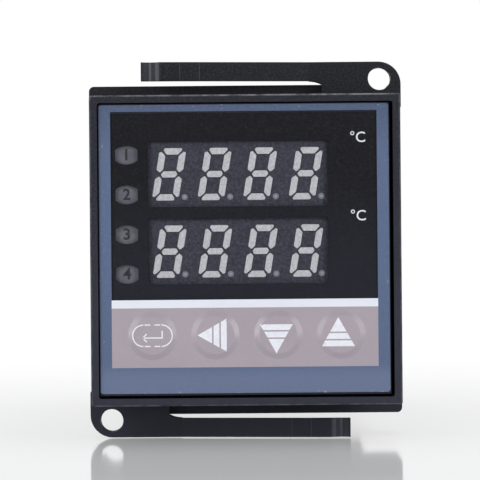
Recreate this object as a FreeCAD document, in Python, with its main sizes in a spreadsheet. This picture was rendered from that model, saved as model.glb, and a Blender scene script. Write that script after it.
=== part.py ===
"""Panel temperature controller, 48 x 48 mm front, with its push-on mounting bracket.

Millimetres. X to the right, Y to the rear, Z up. The origin is the centre of the
plane on which the front flange seats against the panel.
"""

import FreeCAD, Part
import os
import re
import Sketcher

doc = FreeCAD.newDocument("temperature_controller")

# ---------------------------------------------------------------- driving sizes

# A number is set by itself; a formula ties a size to the ones above it.
SIZES = {
    # case
    "case_width": 44.8,
    "case_wall": 1.8,
    "bore_half": "case_width / 2 - case_wall",
    "flange_step": 1.6,
    "bezel_width": "case_width + 2 * flange_step",
    "flange_depth": 9.0,
    "rim_width": 1.2,
    "rim_height": 0.5,
    "shoulder_depth": 2.0,
    "bezel_corner": 0.35,
    "insert_corner": 0.25,
    "rim_edge": 0.3,
    "case_length": 88.0,
    "plug_depth": 3.0,
    "case_corner": 1.4,
    "inner_corner": 0.5,
    # ratchet racks in the case's left and right sides
    "rack_start": 7.0,
    "rack_width": 7.0,
    "rack_recess": 0.3,
    "rack_pitch": 2.0,
    "rack_tooth": 0.6,
    "rack_teeth": 30,
    # ventilation slots
    "vent_start": 24.0,
    "vent_length": 22.0,
    "vent_width": 1.6,
    "vent_pitch": 5.0,
    "vent_count": 9,
    # front panel insert
    "insert_gap": 0.3,
    "insert_half": "bezel_width / 2 - rim_width - insert_gap",
    "insert_shift_x": -0.2,
    "insert_shift_z": 0.12,
    "panel_thickness": 2.0,
    "skirt_wall": 1.2,
    "seat_gap": 0.05,
    "post_width": 2.4,
    "post_margin": 1.8,
    # printed film and smoked window
    "film_margin": 0.15,
    "film_thickness": 0.25,
    "film_corner": 0.4,
    "window_left_margin": 1.6,
    "window_right_margin": 2.2,
    "window_top_margin": 1.3,
    "key_row_margin": 9.4,
    "key_zone_rise": 5.2,
    "key_row_z": "key_row_margin - insert_half",
    "window_left": "window_left_margin - insert_half",
    "window_right": "insert_half - window_right_margin",
    "window_top": "insert_half - window_top_margin",
    "window_bottom": "key_row_z + key_zone_rise",
    "window_thickness": 0.9,
    "window_fit": 0.05,
    # indicator lamps
    "lamp_margin": 2.25,
    "lamp_top_margin": 6.42,
    "lamp_bottom_margin": 4.26,
    "lamp_count": 4,
    "lamp_x": "lamp_margin - bore_half",
    "lamp_first_z": "window_top - lamp_top_margin",
    "lamp_last_z": "window_bottom + lamp_bottom_margin",
    "lamp_pitch": "(lamp_first_z - lamp_last_z) / (lamp_count - 1)",
    "lamp_width": 3.5,
    "lamp_height": 2.9,
    "lamp_side": 1.65,
    "lamp_fit": 0.05,
    "led_height": 1.8,
    # seven-segment displays
    "display_offset": 17.2,
    "display_x": "lamp_x + display_offset",
    "display_drop": 0.85,
    "display_pitch": 11.95,
    "lower_display_z": "(window_top + window_bottom - display_pitch) / 2 - display_drop",
    "upper_display_z": "lower_display_z + display_pitch",
    "display_width": 27.75,
    "display_height": 10.1,
    "display_setback": 0.1,
    "digit_pitch": 7.04,
    "digit_count": 4,
    "digit_first_x": -10.6,
    "digit_height": 8.05,
    "digit_width": 4.15,
    "digit_slant": 9.5,
    "segment_width": 1.08,
    "segment_gap": 0.22,
    "segment_depth": 0.6,
    # keys
    "key_row_x": 0.05,
    "key_count": 4,
    "key_end_margin": 7.95,
    "key_pitch": "2 * (insert_half - key_end_margin) / (key_count - 1)",
    "key_radius": 3.0,
    "key_fit": 0.1,
    "key_flange_width": 7.0,
    "key_flange": 0.7,
    "key_shank_width": 3.2,
    "key_travel": 0.3,
    "dome_radius": 3.7,
    "dome_height": 0.4,
    "dome_slope": 0.45,
    "dome_gap": 0.08,
    "stem_width": 3.0,
    "stem_reach": 1.0,
    "switch_width": 6.0,
    "switch_height": 3.3,
    # circuit boards
    "board_thickness": 1.6,
    "board_gap": 0.2,
    "display_board_edge": 0.4,
    "display_board_width": "2 * (bore_half - display_board_edge)",
    "side_board_edge": 0.3,
    "side_board_height": "2 * (bore_half - side_board_edge)",
    "side_board_inset": 5.9,
    "side_board_x": "bore_half - side_board_inset",
    "side_board_stop": 1.2,
    "side_board_start": "board_thickness + board_gap",
    "side_board_length": "case_length - plug_depth - side_board_start - side_board_stop",
    "guide_fit": 0.1,
    "guide_width": 1.0,
    "guide_height": 2.0,
    "arm_drop": 3.5,
    "arm_z": "lamp_last_z - arm_drop",
    "arm_width": 3.2,
    "arm_thickness": 1.2,
    "arm_length": 12.0,
    "hook_width": 2.4,
    "hook_length": 2.6,
    "header_length": 20.0,
    "header_width": 2.5,
    # parts on the boards
    "transformer_y": 34.0,
    "core_length": 26.0,
    "core_height": 22.0,
    "core_depth": 9.0,
    "core_leg": 6.0,
    "core_window": 5.0,
    "core_yoke": 4.0,
    "coil_overhang": 3.2,
    "coil_fit": 0.1,
    "capacitor_y": 60.0,
    "capacitor_z": 9.0,
    "capacitor_radius": 5.0,
    "capacitor_length": 14.0,
    "relay_y": 52.0,
    "relay_z": -6.0,
    "relay_length": 19.0,
    "relay_height": 15.5,
    "relay_depth": 10.0,
    "chip_y": 24.0,
    "chip_z": 4.0,
    "chip_width": 10.0,
    "chip_height": 1.6,
    "driver_length": 8.0,
    "driver_width": 4.0,
    "driver_pitch": 6.5,
    "driver_margin": 2.3,
    "driver_z": "driver_margin - side_board_height / 2",
    "driver_count": 3,
    "regulator_y": 60.0,
    "regulator_z": -9.0,
    "regulator_gap": 3.4,
    "regulator_height": "2 * side_board_x - relay_depth - regulator_gap",
    # terminal block
    "plug_fit": 0.1,
    "block_flange": 3.0,
    "column_width": 10.2,
    "column_rise": 2.0,
    "terminal_count": 5,
    "terminal_pitch": "(case_width - 2 * case_corner) / terminal_count",
    "barrier_width": 1.2,
    "barrier_height": 7.5,
    "plateau_height": 7.5,
    "plateau_wall": 1.6,
    "terminal_inset": 5.1,
    "terminal_x": "case_width / 2 - terminal_inset",
    "contact_gap": 0.3,
    "contact_length": 6.8,
    "contact_width": "terminal_pitch - barrier_width - 2 * contact_gap",
    "contact_thickness": 1.0,
    "tail_thickness": 0.8,
    "tail_width": 3.0,
    "tail_reach": 5.0,
    "washer_inset": 0.2,
    "washer_width": "contact_width - 2 * washer_inset",
    "washer_thickness": 0.8,
    "screw_radius": 1.45,
    "screw_length": 8.0,
    "screw_head_radius": 2.75,
    "screw_head_height": 2.1,
    "terminal_fit": 0.05,
    # mounting bracket
    "bracket_front": 5.0,
    "collar_fit": 0.2,
    "collar_side_wall": 2.4,
    "collar_top_wall": 3.8,
    "collar_width": "case_width + 2 * (collar_fit + collar_side_wall)",
    "collar_height": "case_width + 2 * (collar_fit + collar_top_wall)",
    "collar_depth": 10.0,
    "collar_corner": 0.8,
    "ear_thickness": 3.0,
    "ear_length": 12.6,
    "ear_root_x": "collar_width / 2 - ear_length",
    "ear_rise": 3.45,
    "ear_top": "collar_height / 2 + ear_rise",
    "ear_corner": 3.6,
    "ear_hole_inset": 3.4,
    "ear_hole_drop": 2.7,
    "ear_hole_x": "collar_width / 2 - ear_hole_inset",
    "ear_hole_z": "ear_top - ear_hole_drop",
    "ear_hole_radius": 1.83,
    "arm_slot": 0.5,
    "slot_taper": 2.0,
    "arm_slot_end": "ear_root_x - slot_taper",
    "spring_tip_inset": 8.6,
    "spring_tip_x": "spring_tip_inset - collar_width / 2",
    "spring_thickness": 1.8,
    "spring_reach": 3.4,
    "spring_pad": 3.2,
    "tongue_width": 6.0,
    "tongue_length": 7.0,
    "tongue_slot": 0.8,
    "pawl_length": 1.6,
    "pawl_gap": 0.1,
}

sheet = doc.addObject("Spreadsheet::Sheet", "sizes")
for row, (alias, value) in enumerate(SIZES.items(), 1):
    sheet.set(f"A{row}", alias)
    sheet.set(f"B{row}", f"={value}")
    sheet.setAlias(f"B{row}", alias)
doc.recompute()

# ---------------------------------------------------------------- derived places

FILM_FRONT = "(rim_height - flange_depth)"
FILM_BACK = f"({FILM_FRONT} + film_thickness)"
PANEL_BACK = f"({FILM_BACK} + panel_thickness)"
WINDOW_BACK = f"({FILM_FRONT} + window_thickness)"
DISPLAY_FRONT = f"({WINDOW_BACK} + display_setback)"
BOARD_FRONT = "0"
FILM_HALF = "(insert_half - film_margin)"
KEY_FIRST_X = "(key_row_x - key_pitch * (key_count - 1) / 2)"
KEY_FRONT = f"({FILM_FRONT} - dome_height + film_thickness + dome_gap)"
KEY_FLANGE_FRONT = f"({PANEL_BACK} + seat_gap)"
STEM_FRONT = f"({BOARD_FRONT} - switch_height - stem_reach)"
SIDE_BOARD_OUTER = "(side_board_x + board_thickness)"
SEAT_Y = "(case_length + block_flange + column_rise)"
CONTACT_BACK = f"({SEAT_Y} + contact_thickness)"
WASHER_BACK = f"({CONTACT_BACK} + washer_thickness)"
COLLAR_FRONT = "(bracket_front + ear_thickness)"
COLLAR_BACK = f"({COLLAR_FRONT} + collar_depth)"
COLLAR_INNER = "(case_width / 2 + collar_fit)"
SPRING_BOTTOM = "(collar_height / 2 + arm_slot)"
RACK_CREST = "(case_width / 2 - rack_recess)"

# ---------------------------------------------------------------- drawing helpers


def linked(expression):
    """Point every size name in an expression at its cell in the sheet."""
    return re.sub(
        r"[a-z][a-z0-9_]*",
        lambda word: "sizes." + word.group() if word.group() in SIZES else word.group(),
        str(expression),
    )


def number(expression):
    """The present value of an expression."""
    return float(sheet.evalExpression(linked(expression)))


def new_body(label):
    body = doc.addObject("PartDesign::Body", label)
    body.Label = label
    body.AllowCompound = True
    return body


def origin_part(body, role):
    return [item for item in body.Origin.OriginFeatures if item.Role == role][0]


def sketch_on(body, role, offset):
    sketch = body.newObject("Sketcher::SketchObject", "outline")
    sketch.AttachmentSupport = (origin_part(body, role), [""])
    sketch.MapMode = "FlatFace"
    sketch.setExpression("AttachmentOffset.Base.z", linked(offset))
    return sketch


def front_sketch(body, depth):
    """A sketch seen from the front: X across, Z up, at the given Y."""
    return sketch_on(body, "XZ_Plane", f"-({depth})")


def plan_sketch(body, height):
    """A sketch seen from above: X across, Y up the page, at the given Z."""
    return sketch_on(body, "XY_Plane", height)


def side_sketch(body, across):
    """A sketch seen from the side: Y across, Z up, at the given X."""
    return sketch_on(body, "YZ_Plane", across)


def bind(sketch, kind, where, expression):
    index = sketch.addConstraint(Sketcher.Constraint(kind, *where, number(expression)))
    sketch.setExpression(f"Constraints[{index}]", linked(expression))


def polygon(sketch, points, arcs=()):
    """A closed outline through the points; arcs maps an edge's number to (radius, side)."""
    first = len(sketch.Geometry)
    arcs = dict(arcs)
    places = [FreeCAD.Vector(number(across), number(up), 0) for across, up in points]
    for index, start in enumerate(places):
        end = places[(index + 1) % len(places)]
        if index in arcs:
            radius, side = arcs[index]
            chord = end - start
            half = chord.Length / 2
            rise = number(radius) - (number(radius) ** 2 - half**2) ** 0.5
            normal = FreeCAD.Vector(chord.y, -chord.x, 0).normalize()
            middle = (start + end) / 2 + normal * rise * side
            sketch.addGeometry(Part.Arc(start, middle, end), False)
        else:
            sketch.addGeometry(Part.LineSegment(start, end), False)
    for index in range(len(places)):
        following = (index + 1) % len(places)
        this_end = arc_end(sketch, first + index, places[following])
        next_start = arc_end(sketch, first + following, places[following])
        sketch.addConstraint(
            Sketcher.Constraint("Coincident", first + index, this_end, first + following, next_start)
        )
    for index, (across, up) in enumerate(points):
        corner = (-1, 1, first + index, arc_end(sketch, first + index, places[index]))
        bind(sketch, "DistanceX", corner, across)
        bind(sketch, "DistanceY", corner, up)
    for index, (radius, _) in arcs.items():
        bind(sketch, "Radius", (first + index,), radius)


def arc_end(sketch, index, place):
    """Which end of an edge, 1 or 2, lies at the place."""
    start = sketch.getPoint(index, 1)
    return 1 if (start - place).Length < 1e-6 else 2


def rectangle(sketch, left, right, bottom, top):
    polygon(sketch, [(left, bottom), (right, bottom), (right, top), (left, top)])


def square(sketch, across, up, half):
    rectangle(
        sketch,
        f"{across} - ({half})",
        f"{across} + ({half})",
        f"{up} - ({half})",
        f"{up} + ({half})",
    )


def circle(sketch, across, up, radius):
    index = len(sketch.Geometry)
    centre = FreeCAD.Vector(number(across), number(up), 0)
    normal = FreeCAD.Vector(0, 0, 1)
    sketch.addGeometry(Part.Circle(centre, normal, number(radius)), False)
    bind(sketch, "DistanceX", (-1, 1, index, 3), across)
    bind(sketch, "DistanceY", (-1, 1, index, 3), up)
    bind(sketch, "Radius", (index,), radius)


def pad(body, sketch, length, reverse=False):
    feature = body.newObject("PartDesign::Pad", "pad")
    feature.Profile = sketch
    feature.setExpression("Length", linked(length))
    feature.Reversed = reverse
    doc.recompute()
    return feature


def pad_back(body, sketch, length):
    """Extrude a front sketch towards the rear."""
    return pad(body, sketch, length, reverse=True)


def pocket(body, sketch, length, midplane=False, reverse=False):
    """Cut a sketch into the body; a cut that removes nothing is an error."""
    before = body.Shape.Volume
    feature = body.newObject("PartDesign::Pocket", "pocket")
    feature.Profile = sketch
    feature.setExpression("Length", linked(length))
    feature.Midplane = midplane
    feature.Reversed = reverse
    doc.recompute()
    if body.Shape.Volume >= before - 1e-6:
        raise RuntimeError(f"{body.Label}: {feature.Name} cuts nothing")
    return feature


def turned(body, across, height, profile):
    """Revolve a profile of (radius, Y) points about a line along Y at X, Z."""
    sketch = plan_sketch(body, height)
    ends = [number(place) for _, place in profile]
    axis_x = number(across)
    axis = Part.LineSegment(
        FreeCAD.Vector(axis_x, min(ends), 0), FreeCAD.Vector(axis_x, max(ends) + 1, 0)
    )
    sketch.addGeometry(axis, True)
    sketch.addConstraint(Sketcher.Constraint("Vertical", 0))
    bind(sketch, "DistanceX", (-1, 1, 0, 1), across)
    polygon(sketch, [(f"{across} + ({radius})", place) for radius, place in profile])
    feature = body.newObject("PartDesign::Revolution", "revolution")
    feature.Profile = sketch
    feature.ReferenceAxis = (sketch, ["Axis0"])
    doc.recompute()
    return feature


def linear_pattern(body, axis, count, pitch, reverse=False):
    pattern = body.newObject("PartDesign::LinearPattern", "pattern")
    pattern.Direction = (origin_part(body, axis), [""])
    pattern.Reversed = reverse
    pattern.setExpression("Length", linked(f"{pitch} * ({count} - 1)"))
    pattern.setExpression("Occurrences", linked(count))
    return pattern


def mirrored(body, plane):
    mirror = body.newObject("PartDesign::Mirrored", "mirror")
    mirror.MirrorPlane = (origin_part(body, plane), [""])
    return mirror


def repeated(body, features, *steps):
    """Repeat features by patterns and mirrors, applied one after another."""
    if len(steps) == 1:
        result = steps[0]
        result.Originals = features
    else:
        result = body.newObject("PartDesign::MultiTransform", "repeats")
        result.Originals = features
        result.Transformations = list(steps)
    body.Tip = result
    doc.recompute()
    return result


def rounded(body, radius, chosen, kind="Fillet"):
    """Round or chamfer the edges of the body's present shape that the test picks."""
    base = body.Tip
    names = [
        f"Edge{index}" for index, edge in enumerate(base.Shape.Edges, 1) if chosen(edge)
    ]
    if not names:
        raise RuntimeError(f"{body.Label}: no edge to round")
    feature = body.newObject("PartDesign::" + kind, kind.lower())
    feature.Base = (base, names)
    feature.setExpression("Radius" if kind == "Fillet" else "Size", linked(radius))
    doc.recompute()
    return feature


def along_y(edge, across, up, start, end):
    """Whether an edge runs along Y at plus or minus X and Z, between two depths."""
    box = edge.BoundBox
    return (
        box.XLength < 1e-4
        and box.ZLength < 1e-4
        and abs(abs(box.XMin) - across) < 1e-3
        and abs(abs(box.ZMin) - up) < 1e-3
        and box.YMin > start - 1e-3
        and box.YMax < end + 1e-3
    )


def at_depth(edge, depth):
    """Whether an edge lies in the plane Y = depth."""
    box = edge.BoundBox
    return box.YLength < 1e-4 and abs(box.YMin - depth) < 1e-3


# ---------------------------------------------------------------- case


def make_case():
    body = new_body("case")

    sketch = front_sketch(body, "-flange_depth")
    square(sketch, "0", "0", "bezel_width / 2")
    pad_back(body, sketch, "flange_depth")

    sketch = front_sketch(body, "0")
    square(sketch, "0", "0", "case_width / 2")
    pad_back(body, sketch, "case_length")

    half = number("bezel_width / 2")
    rounded(body, "bezel_corner", lambda edge: along_y(edge, half, half, -99, 0))
    tube = number("case_width / 2")
    rounded(body, "case_corner", lambda edge: along_y(edge, tube, tube, 0, 999))
    front = number("-flange_depth")
    rounded(body, "rim_edge", lambda edge: at_depth(edge, front), kind="Chamfer")

    sketch = front_sketch(body, "-flange_depth")
    square(sketch, "0", "0", "bezel_width / 2 - rim_width")
    pocket(body, sketch, "flange_depth - shoulder_depth")
    sketch = front_sketch(body, "-shoulder_depth")
    square(sketch, "0", "0", "bore_half")
    pocket(body, sketch, "case_length + shoulder_depth")
    recess = number("bezel_width / 2 - rim_width")
    rounded(body, "bezel_corner", lambda edge: along_y(edge, recess, recess, -99, 0))
    bore = number("bore_half")
    rounded(body, "inner_corner", lambda edge: along_y(edge, bore, bore, -99, 999))

    add_guides(body)
    cut_racks(body)
    cut_vents(body)
    return body


def add_guides(body):
    """Paired ribs on the top and bottom walls that hold the side boards' edges."""
    sketch = front_sketch(body, "side_board_start")
    bottom = "bore_half - guide_height"
    top = "bore_half + case_wall / 2"
    inner = "side_board_x - guide_fit"
    outer = f"{SIDE_BOARD_OUTER} + guide_fit"
    rectangle(sketch, f"{inner} - guide_width", inner, bottom, top)
    rectangle(sketch, outer, f"{outer} + guide_width", bottom, top)
    ribs = pad_back(body, sketch, "side_board_length - plug_depth - 1")
    repeated(body, [ribs], mirrored(body, "XY_Plane"), mirrored(body, "YZ_Plane"))


def cut_racks(body):
    """A shallow track with saw teeth in each side, for the bracket's pawls."""
    sketch = side_sketch(body, "case_width / 2")
    rectangle(sketch, "rack_start", "case_length", "-rack_width / 2", "rack_width / 2")
    track = pocket(body, sketch, "rack_recess")
    repeated(body, [track], mirrored(body, "YZ_Plane"))

    sketch = plan_sketch(body, "0")
    polygon(
        sketch,
        [
            (RACK_CREST, "rack_start"),
            ("case_width / 2", "rack_start"),
            ("case_width / 2", "rack_start + rack_pitch"),
            (f"{RACK_CREST} - rack_tooth", "rack_start + rack_pitch"),
        ],
    )
    notch = pocket(body, sketch, "rack_width", midplane=True)
    teeth = linear_pattern(body, "Y_Axis", "rack_teeth", "rack_pitch")
    repeated(body, [notch], teeth, mirrored(body, "YZ_Plane"))


def cut_vents(body):
    """Slots across the top and bottom walls."""
    sketch = plan_sketch(body, "0")
    rectangle(
        sketch,
        "-vent_length / 2",
        "vent_length / 2",
        "vent_start",
        "vent_start + vent_width",
    )
    slot = pocket(body, sketch, "case_width + 1", midplane=True)
    repeated(body, [slot], linear_pattern(body, "Y_Axis", "vent_count", "vent_pitch"))


# ---------------------------------------------------------------- front panel


def barrel(sketch, across, up, margin):
    """A lamp's outline: straight sides with a bowed top and bottom."""
    half = f"(lamp_width / 2 + {margin})"
    side = f"(lamp_side / 2 + {margin})"
    rise = "((lamp_height - lamp_side) / 2)"
    radius = f"({half} ^ 2 + {rise} ^ 2) / (2 * {rise})"
    polygon(
        sketch,
        [
            (f"{across} - {half}", f"{up} - {side}"),
            (f"{across} + {half}", f"{up} - {side}"),
            (f"{across} + {half}", f"{up} + {side}"),
            (f"{across} - {half}", f"{up} + {side}"),
        ],
        arcs={0: (radius, 1), 2: (radius, 1)},
    )


def downwards(body):
    """The column of lamps, counted from the top."""
    return linear_pattern(body, "Z_Axis", "lamp_count", "lamp_pitch", reverse=True)


def make_front_panel():
    body = new_body("front_panel")
    centre = ("insert_shift_x", "insert_shift_z")

    sketch = front_sketch(body, FILM_BACK)
    square(sketch, *centre, "insert_half")
    pad_back(body, sketch, "panel_thickness")
    sketch = front_sketch(body, PANEL_BACK)
    square(sketch, *centre, "insert_half")
    square(sketch, *centre, "insert_half - skirt_wall")
    pad_back(body, sketch, f"-shoulder_depth - seat_gap - {PANEL_BACK}")
    left = number("insert_half - insert_shift_x")
    right = number("insert_half + insert_shift_x")
    bottom = number("insert_half - insert_shift_z")
    top = number("insert_half + insert_shift_z")
    rounded(
        body,
        "insert_corner",
        lambda edge: any(
            along_y(edge, side, level, -99, 0) for side in (left, right) for level in (bottom, top)
        ),
    )

    sketch = front_sketch(body, FILM_BACK)
    rectangle(sketch, "window_left", "window_right", "window_bottom", "window_top")
    pocket(body, sketch, f"{WINDOW_BACK} - {FILM_BACK}")

    sketch = front_sketch(body, FILM_BACK)
    for level in ("upper_display_z", "lower_display_z"):
        rectangle(
            sketch,
            "display_x - display_width / 2 - lamp_fit",
            "display_x + display_width / 2 + lamp_fit",
            f"{level} - display_height / 2 - lamp_fit",
            f"{level} + display_height / 2 + lamp_fit",
        )
    pocket(body, sketch, "panel_thickness")

    sketch = front_sketch(body, FILM_BACK)
    barrel(sketch, "lamp_x", "lamp_first_z", "lamp_fit")
    opening = pocket(body, sketch, "panel_thickness")
    repeated(body, [opening], downwards(body))

    sketch = front_sketch(body, FILM_BACK)
    circle(sketch, KEY_FIRST_X, "key_row_z", "key_radius + key_fit")
    hole = pocket(body, sketch, "panel_thickness")
    repeated(body, [hole], linear_pattern(body, "X_Axis", "key_count", "key_pitch"))

    sketch = front_sketch(body, PANEL_BACK)
    place = "(bore_half - post_margin)"
    for across in (f"-{place}", place):
        for up in (f"-{place}", place):
            square(sketch, across, up, "post_width / 2")
    pad_back(body, sketch, f"{BOARD_FRONT} - {PANEL_BACK}")

    add_board_arms(body)
    return body


def add_board_arms(body):
    """Two spring arms that reach back and hook into the side boards' slots."""
    inner = f"{SIDE_BOARD_OUTER} + guide_fit"
    sketch = front_sketch(body, PANEL_BACK)
    rectangle(
        sketch,
        inner,
        f"{inner} + arm_thickness",
        "arm_z - arm_width / 2",
        "arm_z + arm_width / 2",
    )
    arm = pad_back(body, sketch, f"arm_length - {PANEL_BACK}")
    sketch = front_sketch(body, "arm_length - hook_length")
    rectangle(
        sketch, "side_board_x", inner, "arm_z - hook_width / 2", "arm_z + hook_width / 2"
    )
    hook = pad_back(body, sketch, "hook_length")
    repeated(body, [arm, hook], mirrored(body, "YZ_Plane"))


def make_front_overlay():
    """The printed film, with a domed patch over each key."""
    body = new_body("front_overlay")
    sketch = front_sketch(body, FILM_FRONT)
    square(sketch, "insert_shift_x", "insert_shift_z", FILM_HALF)
    pad_back(body, sketch, "film_thickness")
    left = number(f"{FILM_HALF} - insert_shift_x")
    right = number(f"{FILM_HALF} + insert_shift_x")
    bottom = number(f"{FILM_HALF} - insert_shift_z")
    top = number(f"{FILM_HALF} + insert_shift_z")
    rounded(
        body,
        "film_corner",
        lambda edge: any(
            along_y(edge, side, level, -99, 0) for side in (left, right) for level in (bottom, top)
        ),
    )

    sketch = front_sketch(body, FILM_FRONT)
    rectangle(sketch, "window_left", "window_right", "window_bottom", "window_top")
    circle(sketch, KEY_FIRST_X, "key_row_z", "dome_radius - film_thickness / 2")
    for index in range(1, int(number("key_count"))):
        place = f"{KEY_FIRST_X} + key_pitch * {index}"
        circle(sketch, place, "key_row_z", "dome_radius - film_thickness / 2")
    pocket(body, sketch, "film_thickness")

    crown = f"{FILM_FRONT} - dome_height"
    dome = turned(
        body,
        KEY_FIRST_X,
        "key_row_z",
        [
            ("0", crown),
            ("dome_radius - dome_slope", crown),
            ("dome_radius", FILM_FRONT),
            ("dome_radius", FILM_BACK),
            ("dome_radius - film_thickness", FILM_BACK),
            ("dome_radius - film_thickness - dome_slope", f"{crown} + film_thickness"),
            ("0", f"{crown} + film_thickness"),
        ],
    )
    repeated(body, [dome], linear_pattern(body, "X_Axis", "key_count", "key_pitch"))
    return body


def make_display_window():
    body = new_body("display_window")
    sketch = front_sketch(body, FILM_FRONT)
    rectangle(
        sketch,
        "window_left + window_fit",
        "window_right - window_fit",
        "window_bottom + window_fit",
        "window_top - window_fit",
    )
    pad_back(body, sketch, "window_thickness")
    return body


# ---------------------------------------------------------------- displays and lamps

HALF_WIDTH = "(digit_width / 2)"
HALF_HEIGHT = "(digit_height / 2)"
INNER = f"({HALF_WIDTH} - segment_width)"
MIDDLE = f"({HALF_WIDTH} - segment_width / 2)"
WAIST = "(segment_width / 2)"

UPPER_BAR = [
    (f"-{INNER} + segment_gap", f"{HALF_HEIGHT} - segment_width"),
    (f"{INNER} - segment_gap", f"{HALF_HEIGHT} - segment_width"),
    (f"{INNER} - segment_gap + 0.6 * segment_width", HALF_HEIGHT),
    (f"-{INNER} + segment_gap - 0.6 * segment_width", HALF_HEIGHT),
]
UPPER_UPRIGHT = [
    (MIDDLE, "segment_gap"),
    (HALF_WIDTH, f"{WAIST} + segment_gap"),
    (HALF_WIDTH, f"{HALF_HEIGHT} - 0.7 * segment_width"),
    (f"{HALF_WIDTH} - 0.3 * segment_width", f"{HALF_HEIGHT} - 0.45 * segment_width"),
    (INNER, f"{HALF_HEIGHT} - segment_width - segment_gap"),
    (INNER, f"{WAIST} + segment_gap"),
]
MIDDLE_BAR = [
    (f"-{MIDDLE} + segment_gap", "0"),
    (f"-{INNER} + segment_gap", f"-{WAIST}"),
    (f"{INNER} - segment_gap", f"-{WAIST}"),
    (f"{MIDDLE} - segment_gap", "0"),
    (f"{INNER} - segment_gap", WAIST),
    (f"-{INNER} + segment_gap", WAIST),
]


def digit(sketch, level):
    """The seven segments of one digit, leaning to the right."""

    def segment(points, flip_x, flip_z):
        places = []
        for across, up in points:
            across = f"{flip_x} * ({across})"
            up = f"{flip_z} * ({up})"
            lean = f"({up}) * tan(digit_slant)"
            places.append((f"display_x + digit_first_x + {across} + {lean}", f"{level} + {up}"))
        polygon(sketch, places)

    for flip_z in (1, -1):
        segment(UPPER_BAR, 1, flip_z)
        for flip_x in (1, -1):
            segment(UPPER_UPRIGHT, flip_x, flip_z)
    segment(MIDDLE_BAR, 1, 1)


def make_display(name, level):
    """A display module's housing, with a cavity for each segment."""
    body = new_body(name)
    sketch = front_sketch(body, DISPLAY_FRONT)
    rectangle(
        sketch,
        "display_x - display_width / 2",
        "display_x + display_width / 2",
        f"{level} - display_height / 2",
        f"{level} + display_height / 2",
    )
    pad_back(body, sketch, f"{BOARD_FRONT} - {DISPLAY_FRONT}")
    sketch = front_sketch(body, DISPLAY_FRONT)
    digit(sketch, level)
    cavity = pocket(body, sketch, "segment_depth")
    repeated(body, [cavity], linear_pattern(body, "X_Axis", "digit_count", "digit_pitch"))
    return body


def make_segments(name, level):
    """The cast light-guide segments that fill a module's cavities."""
    body = new_body(name)
    sketch = front_sketch(body, DISPLAY_FRONT)
    digit(sketch, level)
    filling = pad_back(body, sketch, "segment_depth")
    repeated(body, [filling], linear_pattern(body, "X_Axis", "digit_count", "digit_pitch"))
    return body


def make_lamp_lenses():
    body = new_body("indicator_lenses")
    sketch = front_sketch(body, DISPLAY_FRONT)
    barrel(sketch, "lamp_x", "lamp_first_z", "0")
    lens = pad_back(body, sketch, f"{BOARD_FRONT} - led_height - {DISPLAY_FRONT}")
    repeated(body, [lens], downwards(body))
    return body


def make_lamp_leds():
    body = new_body("indicator_leds")
    sketch = front_sketch(body, f"{BOARD_FRONT} - led_height")
    rectangle(
        sketch,
        "lamp_x - lamp_side",
        "lamp_x + lamp_side",
        "lamp_first_z - lamp_side / 2",
        "lamp_first_z + lamp_side / 2",
    )
    led = pad_back(body, sketch, "led_height")
    repeated(body, [led], downwards(body))
    return body


# ---------------------------------------------------------------- keys


def key_x(index):
    return f"({KEY_FIRST_X} + key_pitch * {index})"


def make_key(name, index):
    """A round plunger whose square flange keeps it behind the front panel."""
    body = new_body(name)
    sketch = front_sketch(body, KEY_FRONT)
    circle(sketch, key_x(index), "key_row_z", "key_radius")
    pad_back(body, sketch, f"{KEY_FLANGE_FRONT} - ({KEY_FRONT})")
    sketch = front_sketch(body, KEY_FLANGE_FRONT)
    square(sketch, key_x(index), "key_row_z", "key_flange_width / 2")
    pad_back(body, sketch, "key_flange")
    sketch = front_sketch(body, f"{KEY_FLANGE_FRONT} + key_flange")
    square(sketch, key_x(index), "key_row_z", "key_shank_width / 2")
    pad_back(body, sketch, f"{STEM_FRONT} - {KEY_FLANGE_FRONT} - key_flange")
    return body


def make_stem(name, index):
    """The switch's own square stem, which the plunger pushes into the switch."""
    body = new_body(name)
    sketch = front_sketch(body, STEM_FRONT)
    square(sketch, key_x(index), "key_row_z", "stem_width / 2")
    pad_back(body, sketch, "stem_reach + 2 * key_travel")
    return body


def make_switches():
    body = new_body("key_switches")
    sketch = front_sketch(body, f"{BOARD_FRONT} - switch_height")
    square(sketch, KEY_FIRST_X, "key_row_z", "switch_width / 2")
    block = pad_back(body, sketch, "switch_height")
    sketch = front_sketch(body, f"{BOARD_FRONT} - switch_height")
    square(sketch, KEY_FIRST_X, "key_row_z", "stem_width / 2 + key_fit")
    well = pocket(body, sketch, "4 * key_travel")
    repeated(body, [block, well], linear_pattern(body, "X_Axis", "key_count", "key_pitch"))
    return body


# ---------------------------------------------------------------- boards


def make_display_board():
    body = new_body("display_board")
    sketch = front_sketch(body, BOARD_FRONT)
    square(sketch, "0", "0", "display_board_width / 2")
    pad_back(body, sketch, "board_thickness")
    sketch = front_sketch(body, BOARD_FRONT)
    inner = SIDE_BOARD_OUTER
    outer = "display_board_width / 2 + board_gap"
    edge = "(arm_width / 2 + 2 * guide_fit)"
    rectangle(sketch, inner, outer, f"arm_z - {edge}", f"arm_z + {edge}")
    notch = pocket(body, sketch, "board_thickness")
    repeated(body, [notch], mirrored(body, "YZ_Plane"))
    return body


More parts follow.
